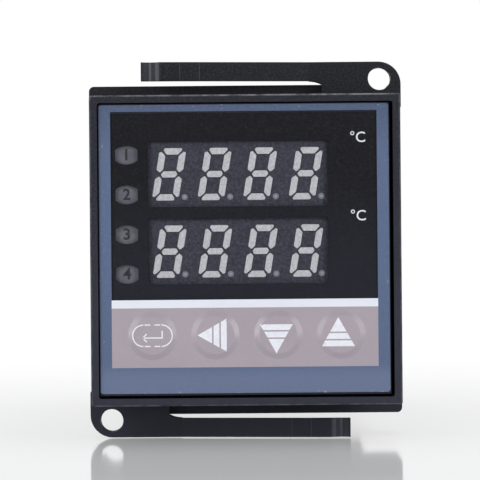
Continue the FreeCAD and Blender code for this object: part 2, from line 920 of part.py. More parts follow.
def make_side_board(name, side):
    """A long board standing in the case's guides; side is -1 for left, 1 for right."""
    body = new_body(name)
    inner = f"{side} * side_board_x"
    outer = f"{side} * {SIDE_BOARD_OUTER}"
    left, right = (outer, inner) if side < 0 else (inner, outer)
    sketch = front_sketch(body, "side_board_start")
    rectangle(sketch, left, right, "-side_board_height / 2", "side_board_height / 2")
    pad_back(body, sketch, "side_board_length")
    sketch = side_sketch(body, f"{side} * (side_board_x + board_thickness / 2)")
    rectangle(
        sketch,
        "arm_length - hook_length - guide_fit",
        "arm_length + guide_fit",
        "arm_z - hook_width / 2 - guide_fit",
        "arm_z + hook_width / 2 + guide_fit",
    )
    pocket(body, sketch, "2 * board_thickness", midplane=True)
    return body


def make_headers():
    """Right-angle pin strips that join the display board to the side boards."""
    body = new_body("board_headers")
    sketch = front_sketch(body, "side_board_start - board_gap")
    rectangle(
        sketch,
        "side_board_x - header_width",
        "side_board_x",
        "-header_length / 2",
        "header_length / 2",
    )
    strip = pad_back(body, sketch, "header_width")
    repeated(body, [strip], mirrored(body, "YZ_Plane"))
    return body


def make_transformer_core():
    """A laminated core with two windows round its centre leg."""
    body = new_body("transformer_core")
    sketch = side_sketch(body, "coil_overhang - side_board_x")
    rectangle(
        sketch,
        "transformer_y - core_length / 2",
        "transformer_y + core_length / 2",
        "-core_height / 2",
        "core_height / 2",
    )
    for side in (-1, 1):
        near = f"transformer_y + {side} * core_leg / 2"
        far = f"transformer_y + {side} * (core_leg / 2 + core_window)"
        left, right = (far, near) if side < 0 else (near, far)
        rectangle(
            sketch, left, right, "-core_height / 2 + core_yoke", "core_height / 2 - core_yoke"
        )
    pad(body, sketch, "core_depth")
    return body


def make_transformer_coil():
    """The winding on its bobbin, round the centre leg and resting on the board."""
    body = new_body("transformer_coil")
    height = "(core_height - 2 * core_yoke - 2 * coil_fit)"
    sketch = plan_sketch(body, f"-{height} / 2")
    reach = "(core_leg / 2 + core_window - coil_fit)"
    rectangle(
        sketch,
        "-side_board_x",
        "2 * coil_overhang + core_depth - side_board_x",
        f"transformer_y - {reach}",
        f"transformer_y + {reach}",
    )
    rectangle(
        sketch,
        "coil_overhang - coil_fit - side_board_x",
        "coil_overhang + core_depth + coil_fit - side_board_x",
        "transformer_y - core_leg / 2 - coil_fit",
        "transformer_y + core_leg / 2 + coil_fit",
    )
    pad(body, sketch, height)
    return body


def make_capacitor():
    """A can lying off the power board."""
    body = new_body("filter_capacitor")
    sketch = side_sketch(body, "-side_board_x")
    circle(sketch, "capacitor_y", "capacitor_z", "capacitor_radius")
    pad(body, sketch, "capacitor_length")
    return body


def make_relay():
    body = new_body("output_relay")
    sketch = side_sketch(body, "side_board_x - relay_depth")
    rectangle(
        sketch,
        "relay_y - relay_length / 2",
        "relay_y + relay_length / 2",
        "relay_z - relay_height / 2",
        "relay_z + relay_height / 2",
    )
    pad(body, sketch, "relay_depth")
    top = number("side_board_x - relay_depth")
    rounded(
        body,
        "relay_depth / 20",
        lambda edge: abs(edge.BoundBox.XMin - top) < 1e-3 and edge.BoundBox.XLength < 1e-4,
    )
    return body


def make_processor():
    body = new_body("processor_chip")
    sketch = side_sketch(body, "side_board_x - chip_height")
    square(sketch, "chip_y", "chip_z", "chip_width / 2")
    pad(body, sketch, "chip_height")
    return body


def make_drivers():
    """A row of small driver chips on the control board."""
    body = new_body("driver_chips")
    sketch = side_sketch(body, "side_board_x - chip_height")
    rectangle(
        sketch,
        "chip_y - driver_width / 2",
        "chip_y + driver_width / 2",
        "driver_z",
        "driver_z + driver_length",
    )
    chip = pad(body, sketch, "chip_height")
    repeated(body, [chip], linear_pattern(body, "Y_Axis", "driver_count", "driver_pitch"))
    return body


def make_regulator():
    """A tabbed power regulator standing on the power board."""
    body = new_body("voltage_regulator")
    sketch = plan_sketch(body, "regulator_z")
    rectangle(
        sketch,
        "-side_board_x",
        "driver_length - side_board_x",
        "regulator_y",
        "regulator_y + driver_width",
    )
    rectangle(
        sketch,
        "driver_length - side_board_x",
        "regulator_height - side_board_x",
        "regulator_y",
        "regulator_y + contact_thickness",
    )
    pad(body, sketch, "chip_width")
    return body


# ---------------------------------------------------------------- terminals

BLOCK_BACK = "(case_length + block_flange)"
COLUMN_INNER = "(case_width / 2 - column_width)"
FIRST_TERMINAL_Z = "(-terminal_pitch * (terminal_count - 1) / 2)"
TAIL_INNER = "(side_board_x - tail_thickness)"


def every_terminal(body, features):
    """Repeat features up the column and across to the other column."""
    column = linear_pattern(body, "Z_Axis", "terminal_count", "terminal_pitch")
    return repeated(body, features, column, mirrored(body, "YZ_Plane"))


def make_terminal_block():
    body = new_body("terminal_block")
    sketch = front_sketch(body, "case_length - plug_depth")
    square(sketch, "0", "0", "bore_half - plug_fit")
    pad_back(body, sketch, "plug_depth")
    plug = number("bore_half - plug_fit")
    rounded(body, "inner_corner", lambda edge: along_y(edge, plug, plug, 0, 999))
    sketch = front_sketch(body, "case_length")
    square(sketch, "0", "0", "case_width / 2")
    pad_back(body, sketch, "block_flange")
    half = number("case_width / 2")
    rounded(body, "case_corner", lambda edge: along_y(edge, half, half, 0, 999))

    sketch = front_sketch(body, BLOCK_BACK)
    column_top = "case_width / 2 - case_corner / 2"
    for side in (-1, 1):
        inner = f"{side} * {COLUMN_INNER}"
        outer = f"{side} * case_width / 2"
        left, right = (outer, inner) if side < 0 else (inner, outer)
        rectangle(sketch, left, right, f"-({column_top})", column_top)
    pad_back(body, sketch, "column_rise")
    sketch = front_sketch(body, BLOCK_BACK)
    rectangle(sketch, f"-{COLUMN_INNER}", COLUMN_INNER, f"-({column_top})", column_top)
    pad_back(body, sketch, "plateau_height")

    sketch = front_sketch(body, SEAT_Y)
    lowest = f"({FIRST_TERMINAL_Z} - terminal_pitch / 2)"
    rectangle(
        sketch,
        COLUMN_INNER,
        "case_width / 2",
        f"{lowest} - barrier_width / 2",
        f"{lowest} + barrier_width / 2",
    )
    barrier = pad_back(body, sketch, "barrier_height")
    column = linear_pattern(body, "Z_Axis", "terminal_count + 1", "terminal_pitch")
    repeated(body, [barrier], column, mirrored(body, "YZ_Plane"))

    sketch = front_sketch(body, "case_length - plug_depth")
    hollow = f"{COLUMN_INNER} - plateau_wall"
    height = "bore_half - 2 * plateau_wall"
    rectangle(sketch, f"-({hollow})", hollow, f"-({height})", height)
    pocket(body, sketch, "plug_depth + block_flange + plateau_height - plateau_wall")

    sketch = front_sketch(body, SEAT_Y)
    square(sketch, "terminal_x", FIRST_TERMINAL_Z, "screw_radius + 4 * terminal_fit")
    well = pocket(body, sketch, "screw_length - contact_thickness", reverse=True)
    sketch = front_sketch(body, SEAT_Y)
    rectangle(
        sketch,
        f"{TAIL_INNER} - terminal_fit",
        "side_board_x + terminal_fit",
        f"{FIRST_TERMINAL_Z} - tail_width / 2 - terminal_fit",
        f"{FIRST_TERMINAL_Z} + tail_width / 2 + terminal_fit",
    )
    slot = pocket(body, sketch, "plug_depth + block_flange + column_rise + 1", reverse=True)
    every_terminal(body, [well, slot])
    return body


def make_terminals():
    """Stamped contacts, each with its screw and square washer clamped on it.

    A contact is a plate on the seat and a tail that reaches in to the board's edge.
    """
    body = new_body("terminal_contacts")
    sketch = front_sketch(body, SEAT_Y)
    rectangle(
        sketch,
        TAIL_INNER,
        f"{TAIL_INNER} + contact_length",
        f"{FIRST_TERMINAL_Z} - contact_width / 2",
        f"{FIRST_TERMINAL_Z} + contact_width / 2",
    )
    plate = pad_back(body, sketch, "contact_thickness")
    tail_end = "(side_board_start + side_board_length - tail_reach)"
    sketch = front_sketch(body, tail_end)
    rectangle(
        sketch,
        TAIL_INNER,
        "side_board_x",
        f"{FIRST_TERMINAL_Z} - tail_width / 2",
        f"{FIRST_TERMINAL_Z} + tail_width / 2",
    )
    tail = pad_back(body, sketch, f"{SEAT_Y} - {tail_end}")

    sketch = front_sketch(body, CONTACT_BACK)
    square(sketch, "terminal_x", FIRST_TERMINAL_Z, "washer_width / 2")
    washer = pad_back(body, sketch, "washer_thickness")
    sketch = front_sketch(body, WASHER_BACK)
    circle(sketch, "terminal_x", FIRST_TERMINAL_Z, "screw_head_radius")
    head = pad_back(body, sketch, "screw_head_height")
    sketch = front_sketch(body, SEAT_Y)
    circle(sketch, "terminal_x", FIRST_TERMINAL_Z, "screw_radius")
    shank = pad(body, sketch, "screw_length - washer_thickness - contact_thickness")
    every_terminal(body, [plate, tail, washer, head, shank])
    return body


# ---------------------------------------------------------------- mounting bracket


def make_bracket():
    """A collar round the case with two drilled ears and two bowed spring arms."""
    body = new_body("mounting_bracket")
    sketch = front_sketch(body, COLLAR_FRONT)
    rectangle(
        sketch,
        "-collar_width / 2",
        "collar_width / 2",
        "-collar_height / 2",
        "collar_height / 2",
    )
    square(sketch, "0", "0", COLLAR_INNER)
    pad_back(body, sketch, "collar_depth")
    side = number("collar_width / 2")
    level = number("collar_height / 2")
    rounded(body, "collar_corner", lambda edge: along_y(edge, side, level, 0, 999))

    add_ears(body)
    add_tongues(body)
    return body


def add_ears(body):
    """An ear with its hole and the spring arm that grows from it, twice, half a turn apart."""
    sketch = front_sketch(body, "bracket_front")
    right = "collar_width / 2"
    slope = "(ear_root_x - arm_slot_end)"
    slot_radius = f"({slope} ^ 2 + arm_slot ^ 2) / (2 * arm_slot)"
    corner = "ear_corner"
    polygon(
        sketch,
        [
            ("ear_root_x", COLLAR_INNER),
            (right, COLLAR_INNER),
            (right, f"ear_top - {corner}"),
            (f"{right} - {corner}", "ear_top"),
            ("arm_slot_end", "ear_top"),
            ("arm_slot_end", SPRING_BOTTOM),
            ("ear_root_x", "collar_height / 2"),
        ],
        arcs={2: (corner, 1), 5: (slot_radius, -1)},
    )
    ear = pad_back(body, sketch, "ear_thickness")

    sketch = plan_sketch(body, SPRING_BOTTOM)
    root = "arm_slot_end"
    tip = "spring_tip_x"
    crest = "(bracket_front - spring_reach)"
    knee = f"({tip} + 2 * spring_pad)"
    back = "spring_thickness"
    pad_radius = "spring_pad / 1.6"
    polygon(
        sketch,
        [
            (root, "bracket_front"),
            (root, f"bracket_front + {back}"),
            (knee, f"{crest} + 0.8 + {back}"),
            (tip, f"{crest} + 0.5 + {back}"),
            (tip, f"{crest} + 0.5"),
            (f"{tip} + spring_pad * 0.9", f"{crest} + 0.5"),
            (knee, f"{crest} + 0.8"),
        ],
        arcs={4: (pad_radius, -1)},
    )
    spring = pad(body, sketch, f"ear_top - {SPRING_BOTTOM}")

    turn = body.newObject("PartDesign::PolarPattern", "half_turn")
    turn.Axis = (origin_part(body, "Y_Axis"), [""])
    turn.Angle = 360
    turn.Occurrences = 2
    repeated(body, [ear, spring], turn)

    sketch = front_sketch(body, "bracket_front")
    circle(sketch, "ear_hole_x", "ear_hole_z", "ear_hole_radius")
    circle(sketch, "-ear_hole_x", "-ear_hole_z", "ear_hole_radius")
    pocket(body, sketch, "ear_thickness + collar_depth")


def add_tongues(body):
    """Spring tongues in the collar's sides, each with a pawl over the case's rack."""
    sketch = side_sketch(body, "0")
    for sign in (-1, 1):
        near = f"{sign} * tongue_width / 2"
        far = f"{sign} * (tongue_width / 2 + tongue_slot)"
        low, high = (far, near) if sign < 0 else (near, far)
        rectangle(sketch, f"{COLLAR_BACK} - tongue_length", COLLAR_BACK, low, high)
    pocket(body, sketch, "collar_width + 1", midplane=True)

    tip = f"{RACK_CREST} + pawl_gap"
    sketch = plan_sketch(body, "0")
    polygon(
        sketch,
        [
            (COLLAR_INNER, f"{COLLAR_BACK} - 0.4"),
            (tip, f"{COLLAR_BACK} - 0.4"),
            (tip, f"{COLLAR_BACK} - 0.8"),
            (COLLAR_INNER, f"{COLLAR_BACK} - 0.4 - pawl_length"),
            (f"{COLLAR_INNER} + 0.5", f"{COLLAR_BACK} - 0.4 - pawl_length"),
            (f"{COLLAR_INNER} + 0.5", f"{COLLAR_BACK} - 0.4"),
        ],
    )
    pawl = body.newObject("PartDesign::Pad", "pad")
    pawl.Profile = sketch
    pawl.setExpression("Length", linked("tongue_width"))
    pawl.Midplane = True
    doc.recompute()
    repeated(body, [pawl], mirrored(body, "YZ_Plane"))


# ---------------------------------------------------------------- the whole part

nodes = [
    make_case(),
    make_front_panel(),
    make_front_overlay(),
    make_display_window(),
    make_display("upper_display", "upper_display_z"),
    make_segments("upper_segments", "upper_display_z"),
    make_display("lower_display", "lower_display_z"),
    make_segments("lower_segments", "lower_display_z"),
    make_lamp_lenses(),
    make_lamp_leds(),
    make_switches(),
    make_display_board(),
    make_side_board("power_board", -1),
    make_side_board("control_board", 1),
    make_headers(),
    make_transformer_core(),
    make_transformer_coil(),
    make_capacitor(),
    make_relay(),
    make_processor(),
    make_drivers(),
    make_regulator(),
    make_terminal_block(),
    make_terminals(),
    make_bracket(),
]
for index, key in enumerate(("mode", "shift", "down", "up")):
    nodes.append(make_key(f"{key}_key", index))
    nodes.append(make_stem(f"{key}_key_stem", index))

doc.recompute()

for item in doc.Objects:
    if "Invalid" in item.State or "Error" in item.State:
        raise RuntimeError(f"{item.Name} ({item.Label}) failed: {item.State}")
for node in nodes:
    if node.Shape.isNull() or not node.Shape.isValid():
        raise RuntimeError(f"{node.Label} has no valid shape")

os.makedirs("parts", exist_ok=True)
for node in nodes:
    node.Shape.exportStep(f"parts/{node.Label}.step")
    print(node.Label, len(node.Shape.Solids), round(node.Shape.Volume, 1))
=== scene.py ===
"""The looks of a 48 mm panel temperature controller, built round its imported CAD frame.

Everything is in metres in the frame's own axes: X right, Y to the rear, Z up.
"""

import math

import bmesh
import bpy
from mathutils import Matrix, Vector


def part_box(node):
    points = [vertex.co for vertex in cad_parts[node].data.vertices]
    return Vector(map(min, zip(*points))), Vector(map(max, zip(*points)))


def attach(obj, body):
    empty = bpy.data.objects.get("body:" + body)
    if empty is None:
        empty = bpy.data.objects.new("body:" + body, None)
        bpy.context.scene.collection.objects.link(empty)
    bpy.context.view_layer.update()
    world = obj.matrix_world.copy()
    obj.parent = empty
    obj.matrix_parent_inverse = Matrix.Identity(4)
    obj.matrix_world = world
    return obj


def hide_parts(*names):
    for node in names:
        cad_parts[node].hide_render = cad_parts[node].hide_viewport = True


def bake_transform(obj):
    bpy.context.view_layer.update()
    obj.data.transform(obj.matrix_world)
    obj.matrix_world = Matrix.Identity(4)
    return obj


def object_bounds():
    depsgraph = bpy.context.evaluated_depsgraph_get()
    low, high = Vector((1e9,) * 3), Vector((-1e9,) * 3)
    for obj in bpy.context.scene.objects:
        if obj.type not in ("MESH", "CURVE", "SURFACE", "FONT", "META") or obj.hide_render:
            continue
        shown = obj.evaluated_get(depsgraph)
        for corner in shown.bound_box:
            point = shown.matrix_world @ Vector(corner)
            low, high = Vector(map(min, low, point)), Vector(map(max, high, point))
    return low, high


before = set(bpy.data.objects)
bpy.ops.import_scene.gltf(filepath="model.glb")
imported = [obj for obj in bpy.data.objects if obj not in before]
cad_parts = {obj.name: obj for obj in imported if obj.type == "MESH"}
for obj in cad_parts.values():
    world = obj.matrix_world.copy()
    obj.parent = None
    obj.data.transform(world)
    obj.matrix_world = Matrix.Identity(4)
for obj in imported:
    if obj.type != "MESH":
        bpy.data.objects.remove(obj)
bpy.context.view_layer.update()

MM = 0.001


# ---------------------------------------------------------------- places read from the frame

film_low, film_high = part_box("front_overlay")
window_low, window_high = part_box("display_window")
case_low, case_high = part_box("case")
block_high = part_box("terminal_block")[1]
BEZEL_FRONT = case_low.y
BEZEL_HALF = case_high.x
FILM_BACK = film_high.y
FILM_FRONT = window_low.y
DOME_CROWN = film_low.y
KEY_NAMES = ("mode", "shift", "down", "up")


def middle(node):
    low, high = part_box(node)
    return (low + high) / 2


KEY_CENTRES = [middle(f"{name}_key") for name in KEY_NAMES]


def solids(node):
    """The separate solids of a CAD node, each as a list of its points."""
    shape = bmesh.new()
    shape.from_mesh(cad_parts[node].data)
    bmesh.ops.remove_doubles(shape, verts=shape.verts, dist=1e-7)
    seen = set()
    groups = []
    for first in shape.verts:
        if first in seen:
            continue
        seen.add(first)
        waiting = [first]
        points = []
        while waiting:
            vertex = waiting.pop()
            points.append(vertex.co.copy())
            for edge in vertex.link_edges:
                other = edge.other_vert(vertex)
                if other not in seen:
                    seen.add(other)
                    waiting.append(other)
        groups.append(points)
    shape.free()
    return groups


def extent(points, axis):
    values = [point[axis] for point in points]
    return min(values), max(values)


# ---------------------------------------------------------------- colours, as sRGB bytes


def colour(red, green, blue):
    """A linear colour from sRGB bytes."""

    def linear(byte):
        share = byte / 255
        return share / 12.92 if share <= 0.04045 else ((share + 0.055) / 1.055) ** 2.4

    return (linear(red), linear(green), linear(blue), 1.0)


CASE_BLACK = colour(35, 36, 45)
BRACKET_BLACK = colour(29, 30, 38)
FILM_BLUE = colour(83, 98, 127)
FILM_WHITE = colour(226, 229, 238)
FILM_MAUVE = colour(164, 154, 162)
WINDOW_BLACK = colour(14, 14, 19)
MODULE_GREY = colour(53, 54, 64)
SEGMENT_GREY = colour(194, 194, 198)
POINT_GREY = colour(118, 120, 128)
LAMP_GREY = colour(93, 93, 103)
PRINT_WHITE = colour(232, 233, 240)
PRINT_DARK = colour(22, 22, 27)

# ---------------------------------------------------------------- material helpers


class Nodes:
    """Short forms for building one material's node tree.

    A share is a socket or number from 0 to 1, and a scale is in features per metre.
    """

    def __init__(self, name):
        self.material = bpy.data.materials.new(name)
        self.material.use_nodes = True
        self.tree = self.material.node_tree
        self.shader = self.tree.nodes["Principled BSDF"]
        self.place = self.add("ShaderNodeTexCoord").outputs["Object"]

    def add(self, kind, **values):
        node = self.tree.nodes.new(kind)
        for name, value in values.items():
            setattr(node, name, value)
        return node

    def link(self, source, target):
        self.tree.links.new(source, target)

    def stretched(self, x, y, z):
        """The object's coordinates, scaled per axis."""
        node = self.add("ShaderNodeVectorMath", operation="MULTIPLY")
        self.link(self.place, node.inputs[0])
        node.inputs[1].default_value = (x, y, z)
        return node.outputs[0]

    def noise(self, scale, detail=3.0, roughness=0.55, place=None):
        node = self.add("ShaderNodeTexNoise")
        self.link(place or self.place, node.inputs["Vector"])
        node.inputs["Scale"].default_value = scale
        node.inputs["Detail"].default_value = detail
        node.inputs["Roughness"].default_value = roughness
        return node.outputs["Fac"]

    def cells(self, scale):
        node = self.add("ShaderNodeTexVoronoi")
        self.link(self.place, node.inputs["Vector"])
        node.inputs["Scale"].default_value = scale
        return node

    def ramp(self, value, low, high, start=0.0, end=1.0):
        """Map a value from low..high to start..end, smoothly and held at the ends."""
        node = self.add("ShaderNodeMapRange", interpolation_type="SMOOTHSTEP")
        self.link(value, node.inputs["Value"])
        node.inputs["From Min"].default_value = low
        node.inputs["From Max"].default_value = high
        node.inputs["To Min"].default_value = start
        node.inputs["To Max"].default_value = end
        return node.outputs["Result"]

    def maths(self, operation, first, second=0):
        node = self.add("ShaderNodeMath", operation=operation)
        for socket, value in zip(node.inputs, (first, second)):
            if isinstance(value, (int, float)):
                socket.default_value = value
            else:
                self.link(value, socket)
        return node.outputs[0]

    def mix(self, share, first, second):
        """Blend two colours, each a plain colour or a socket."""
        node = self.add("ShaderNodeMix", data_type="RGBA")
        self.link(share, node.inputs["Factor"])
        for socket, value in zip((node.inputs[6], node.inputs[7]), (first, second)):
            if isinstance(value, tuple):
                socket.default_value = value
            else:
                self.link(value, socket)
        return node.outputs[2]

    def axes(self):
        node = self.add("ShaderNodeSeparateXYZ")
        self.link(self.place, node.inputs[0])
        return node.outputs

    def reach(self, x, z):
        """How far out from the middle of the front, the larger of the two ways."""
        return self.maths("MAXIMUM", self.maths("ABSOLUTE", x), self.maths("ABSOLUTE", z))

    def paint(self, value):
        if isinstance(value, tuple):
            self.shader.inputs["Base Color"].default_value = value
        else:
            self.link(value, self.shader.inputs["Base Color"])

    def rough(self, value):
        if isinstance(value, (int, float)):
            self.shader.inputs["Roughness"].default_value = value
        else:
            self.link(value, self.shader.inputs["Roughness"])

    def bump(self, height, depth, strength):
        """Raise the surface by the height socket, depth in metres."""
        node = self.add("ShaderNodeBump")
        node.inputs["Strength"].default_value = strength
        node.inputs["Distance"].default_value = depth
        self.link(height, node.inputs["Height"])
        self.link(node.outputs["Normal"], self.shader.inputs["Normal"])

    def set(self, **values):
        for name, value in values.items():
            self.shader.inputs[name.replace("_", " ")].default_value = value


def shade(base, factor):
    return tuple(min(1.0, part * factor) for part in base[:3]) + (1.0,)


def dust(nodes, scale, share):
    """Sparse pale specks: a mask that is 1 in a few small cells."""
    cells = nodes.cells(scale)
    near = nodes.ramp(cells.outputs["Distance"], 0.06, 0.16, 1.0, 0.0)
    picked = nodes.ramp(cells.outputs["Color"], 1.0 - share, 1.0 - share + 0.02)
    return nodes.maths("MULTIPLY", near, picked)


# ---------------------------------------------------------------- materials


FINE_GRAIN = 3000


def moulded_plastic(name, base, roughness, wear_and_highlights=None, painted_light_tones=(1.0, 1.0)):
    """Black moulded plastic with a spark-eroded grain, dust, and a callback that adds rubbed
    marks and painted highlights.

    The tones scale its colour at the bottom and the top of the controller: painted light on the
    lower parts and painted shade on the upper parts.
    """
    nodes = Nodes(name)
    mottle = nodes.noise(260, detail=4)
    # Painted light and shade by height: the tones lighten the lower parts and darken the upper
    # parts, as the lamps fall on them.
    height = nodes.ramp(nodes.axes()["Z"], -20 * MM, 22 * MM)
    painted_bottom_light, painted_top_shade = painted_light_tones
    dark, light = (
        nodes.mix(height, shade(base, painted_bottom_light * change), shade(base, painted_top_shade * change))
        for change in (0.92, 1.1)
    )
    body = nodes.mix(nodes.ramp(mottle, 0.35, 0.7), dark, light)
    grain = nodes.noise(FINE_GRAIN, detail=4, roughness=0.75)
    body = nodes.mix(nodes.ramp(grain, 0.42, 0.72), body, shade(base, 1.9))
    if wear_and_highlights is not None:
        body = wear_and_highlights(nodes, body)
    body = nodes.mix(dust(nodes, 900, 0.05), body, colour(112, 112, 118))
    nodes.paint(body)
    nodes.rough(nodes.ramp(mottle, 0.3, 0.75, roughness - 0.03, roughness + 0.05))
    nodes.bump(grain, 0.00003, 0.6)
    nodes.set(Specular_IOR_Level=0.22)
    return nodes.material


def rim_wear(nodes, body):
    """Pale streaks along the flange's outer front edges, partly rubbed wear and partly a painted
    highlight that is strongest along the top edge; and nicks inside the rim.
    """
    x, y, z = nodes.axes()
    reach = nodes.reach(x, z)
    near_edge = nodes.ramp(reach, BEZEL_HALF - 0.34 * MM, BEZEL_HALF - 0.1 * MM)
    near_front = nodes.ramp(y, BEZEL_FRONT + 0.12 * MM, BEZEL_FRONT + 0.5 * MM, 1.0, 0.0)
    streak = nodes.ramp(nodes.noise(420, detail=5, roughness=0.7), 0.36, 0.62)
    mask = nodes.maths("MULTIPLY", nodes.maths("MULTIPLY", near_edge, near_front), streak)
    # Stronger along the top edge: a painted highlight where the top light catches the edge.
    top = nodes.ramp(z, BEZEL_HALF - 1.0 * MM, BEZEL_HALF - 0.3 * MM, 0.45, 1.0)
    body = nodes.mix(nodes.maths("MULTIPLY", mask, top), body, colour(128, 127, 134))
    nick = nodes.ramp(nodes.noise(1500, detail=5, roughness=0.8), 0.635, 0.675)
    inner = nodes.ramp(reach, BEZEL_HALF - 1.9 * MM, BEZEL_HALF - 1.4 * MM, 1.0, 0.0)
    front = nodes.ramp(y, BEZEL_FRONT + 0.5 * MM, BEZEL_FRONT + 1.2 * MM, 1.0, 0.0)
    flecks = nodes.maths("MULTIPLY", nodes.maths("MULTIPLY", nick, inner), front)
    return nodes.mix(flecks, body, colour(150, 150, 156))


SPRING_TIP = 16.4 * MM
SPRING_EDGE = 26.55 * MM
# Painted highlight bands across a spring arm's end: distance from its tip, half width, soft edge
# and strength.
SPRING_HIGHLIGHT_BANDS = (
    (1.45 * MM, 0.1 * MM, 0.2 * MM, 0.95),
    (2.6 * MM, 0.2 * MM, 0.2 * MM, 0.95),
    (6.2 * MM, 0.02 * MM, 0.08 * MM, 0.35),
    (9.3 * MM, 0.02 * MM, 0.08 * MM, 0.35),
)


def spring_wear(nodes, body):
    """Painted highlights: paler bands across the free ends of the two spring arms, broken up by
    noise.
    """
    x, _, z = nodes.axes()
    side = nodes.maths("SIGN", z)
    along = nodes.maths("MULTIPLY", nodes.maths("MULTIPLY", x, side), -1.0)
    level = nodes.ramp(nodes.maths("ABSOLUTE", z), SPRING_EDGE, SPRING_EDGE + 0.2 * MM)
    # A faint painted highlight over the whole end pad, under the bands.
    end = nodes.ramp(along, SPRING_TIP - 3.4 * MM, SPRING_TIP - 2.9 * MM, 0.0, 0.16)
    for centre, half, edge, strength in SPRING_HIGHLIGHT_BANDS:
        offset = nodes.maths("ABSOLUTE", nodes.maths("SUBTRACT", along, SPRING_TIP - centre))
        band = nodes.ramp(offset, half, half + edge, strength, 0.0)
        end = nodes.maths("MAXIMUM", end, band)
    highlight_breakup = nodes.ramp(nodes.noise(300, detail=5, roughness=0.7), 0.25, 0.55, 0.5, 1.0)
    mask = nodes.maths("MULTIPLY", nodes.maths("MULTIPLY", end, level), highlight_breakup)
    return nodes.mix(mask, body, colour(92, 92, 100))


def printed(name, base, roughness, variation, grain_share):
    """Screen-printed film: an even colour with fine grain, faint clouds and dust."""
    nodes = Nodes(name)
    cloud = nodes.noise(90, detail=3)
    body = nodes.mix(
        nodes.ramp(cloud, 0.3, 0.7), shade(base, 1 - variation), shade(base, 1 + variation)
    )
    grain = nodes.noise(4200, detail=2)
    body = nodes.mix(nodes.ramp(grain, 0.3, 0.8, 0.0, grain_share), body, shade(base, 1.6))
    body = nodes.mix(dust(nodes, 700, 0.03), body, colour(205, 207, 212))
    nodes.paint(body)
    nodes.rough(nodes.ramp(cloud, 0.3, 0.7, roughness - 0.04, roughness + 0.06))
    nodes.bump(grain, 0.000012, 0.35)
    nodes.set(Specular_IOR_Level=0.5)
    return nodes.material


def border_print():
    """The blue-grey border, with painted shade darkening it along the top and painted light
    paling it under the keys.
    """
    nodes = Nodes("print_border")
    x, _, z = nodes.axes()
    # Painted shade along the top and painted light under the keys, from how the lamps fall.
    height = nodes.ramp(z, 22.5 * MM, 14 * MM)
    body = nodes.mix(height, shade(FILM_BLUE, 0.72), FILM_BLUE)
    low = nodes.ramp(z, -17 * MM, -20 * MM)
    body = nodes.mix(low, body, colour(100, 112, 139))
    grain = nodes.noise(3200, detail=3, roughness=0.7)
    body = nodes.mix(nodes.ramp(grain, 0.38, 0.78, 0.0, 0.3), body, shade(FILM_BLUE, 1.7))
    reach = nodes.reach(x, z)
    edge = nodes.ramp(reach, film_high.x - 0.5 * MM, film_high.x - 0.15 * MM)
    lint = nodes.ramp(nodes.noise(1300, detail=5, roughness=0.8), 0.62, 0.68)
    body = nodes.mix(nodes.maths("MULTIPLY", edge, lint), body, colour(205, 208, 214))
    body = nodes.mix(dust(nodes, 620, 0.04), body, colour(175, 180, 192))
    nodes.paint(body)
    nodes.rough(0.45)
    nodes.bump(grain, 0.000012, 0.35)
    nodes.set(Specular_IOR_Level=0.35)
    return nodes.material


def smoked_pane():
    """The pane over the displays: nearly clear, with a dark tint, a soft gloss and lint."""
    nodes = Nodes("smoked_pane")
    haze = nodes.noise(320, detail=4)
    nodes.rough(nodes.ramp(haze, 0.35, 0.7, 0.3, 0.42))
    lint = dust(nodes, 520, 0.06)
    specks = nodes.ramp(nodes.noise(2600, detail=4, roughness=0.8), 0.64, 0.72)
    cover = nodes.maths("MAXIMUM", nodes.ramp(lint, 0.0, 1.0, 0.05, 0.6),
                        nodes.ramp(specks, 0.0, 1.0, 0.05, 0.16))
    nodes.link(cover, nodes.shader.inputs["Alpha"])
    marks = nodes.maths("MAXIMUM", lint, specks)
    nodes.paint(nodes.mix(marks, shade(WINDOW_BLACK, 1.2), colour(178, 180, 188)))
    nodes.set(Specular_IOR_Level=0.2)
    nodes.material.blend_method = "BLEND"
    return nodes.material


def window_print():
    """Black print behind the pane, greyer towards the bottom, with fine grain and dust."""
    nodes = Nodes("print_window")
    low = nodes.ramp(nodes.axes()["Z"], 14 * MM, -7 * MM)
    body = nodes.mix(low, WINDOW_BLACK, colour(29, 31, 39))
    grain = nodes.noise(FINE_GRAIN, detail=4, roughness=0.75)
    body = nodes.mix(nodes.ramp(grain, 0.4, 0.75, 0.0, 0.45), body, colour(46, 47, 55))
    body = nodes.mix(dust(nodes, 560, 0.07), body, colour(150, 152, 158))
    nodes.paint(body)
    nodes.rough(0.45)
    nodes.set(Specular_IOR_Level=0.15)
    return nodes.material


def module_face():
    """The display module's matt face, with the same fine speckle."""
    nodes = Nodes("module_face")
    grain = nodes.noise(FINE_GRAIN, detail=4, roughness=0.75)
    body = nodes.mix(
        nodes.ramp(grain, 0.36, 0.68), shade(MODULE_GREY, 0.72), shade(MODULE_GREY, 1.65)
    )
    body = nodes.mix(dust(nodes, 640, 0.09), body, colour(122, 123, 132))
    nodes.paint(body)
    nodes.rough(0.7)
    nodes.set(Specular_IOR_Level=0.25)
    return nodes.material


def cast_segments():
    """Unlit light-guide segments: pale grey and a little uneven."""
    nodes = Nodes("segments")
    cloud = nodes.noise(2400, detail=4, roughness=0.7)
    body = nodes.mix(
        nodes.ramp(cloud, 0.34, 0.68), shade(SEGMENT_GREY, 0.8), shade(SEGMENT_GREY, 1.1)
    )
    nodes.paint(body)
    nodes.rough(0.55)
    nodes.set(Subsurface_Weight=0.05, Subsurface_Scale=0.3 * MM)
    nodes.bump(cloud, 0.00003, 0.3)
    return nodes.material


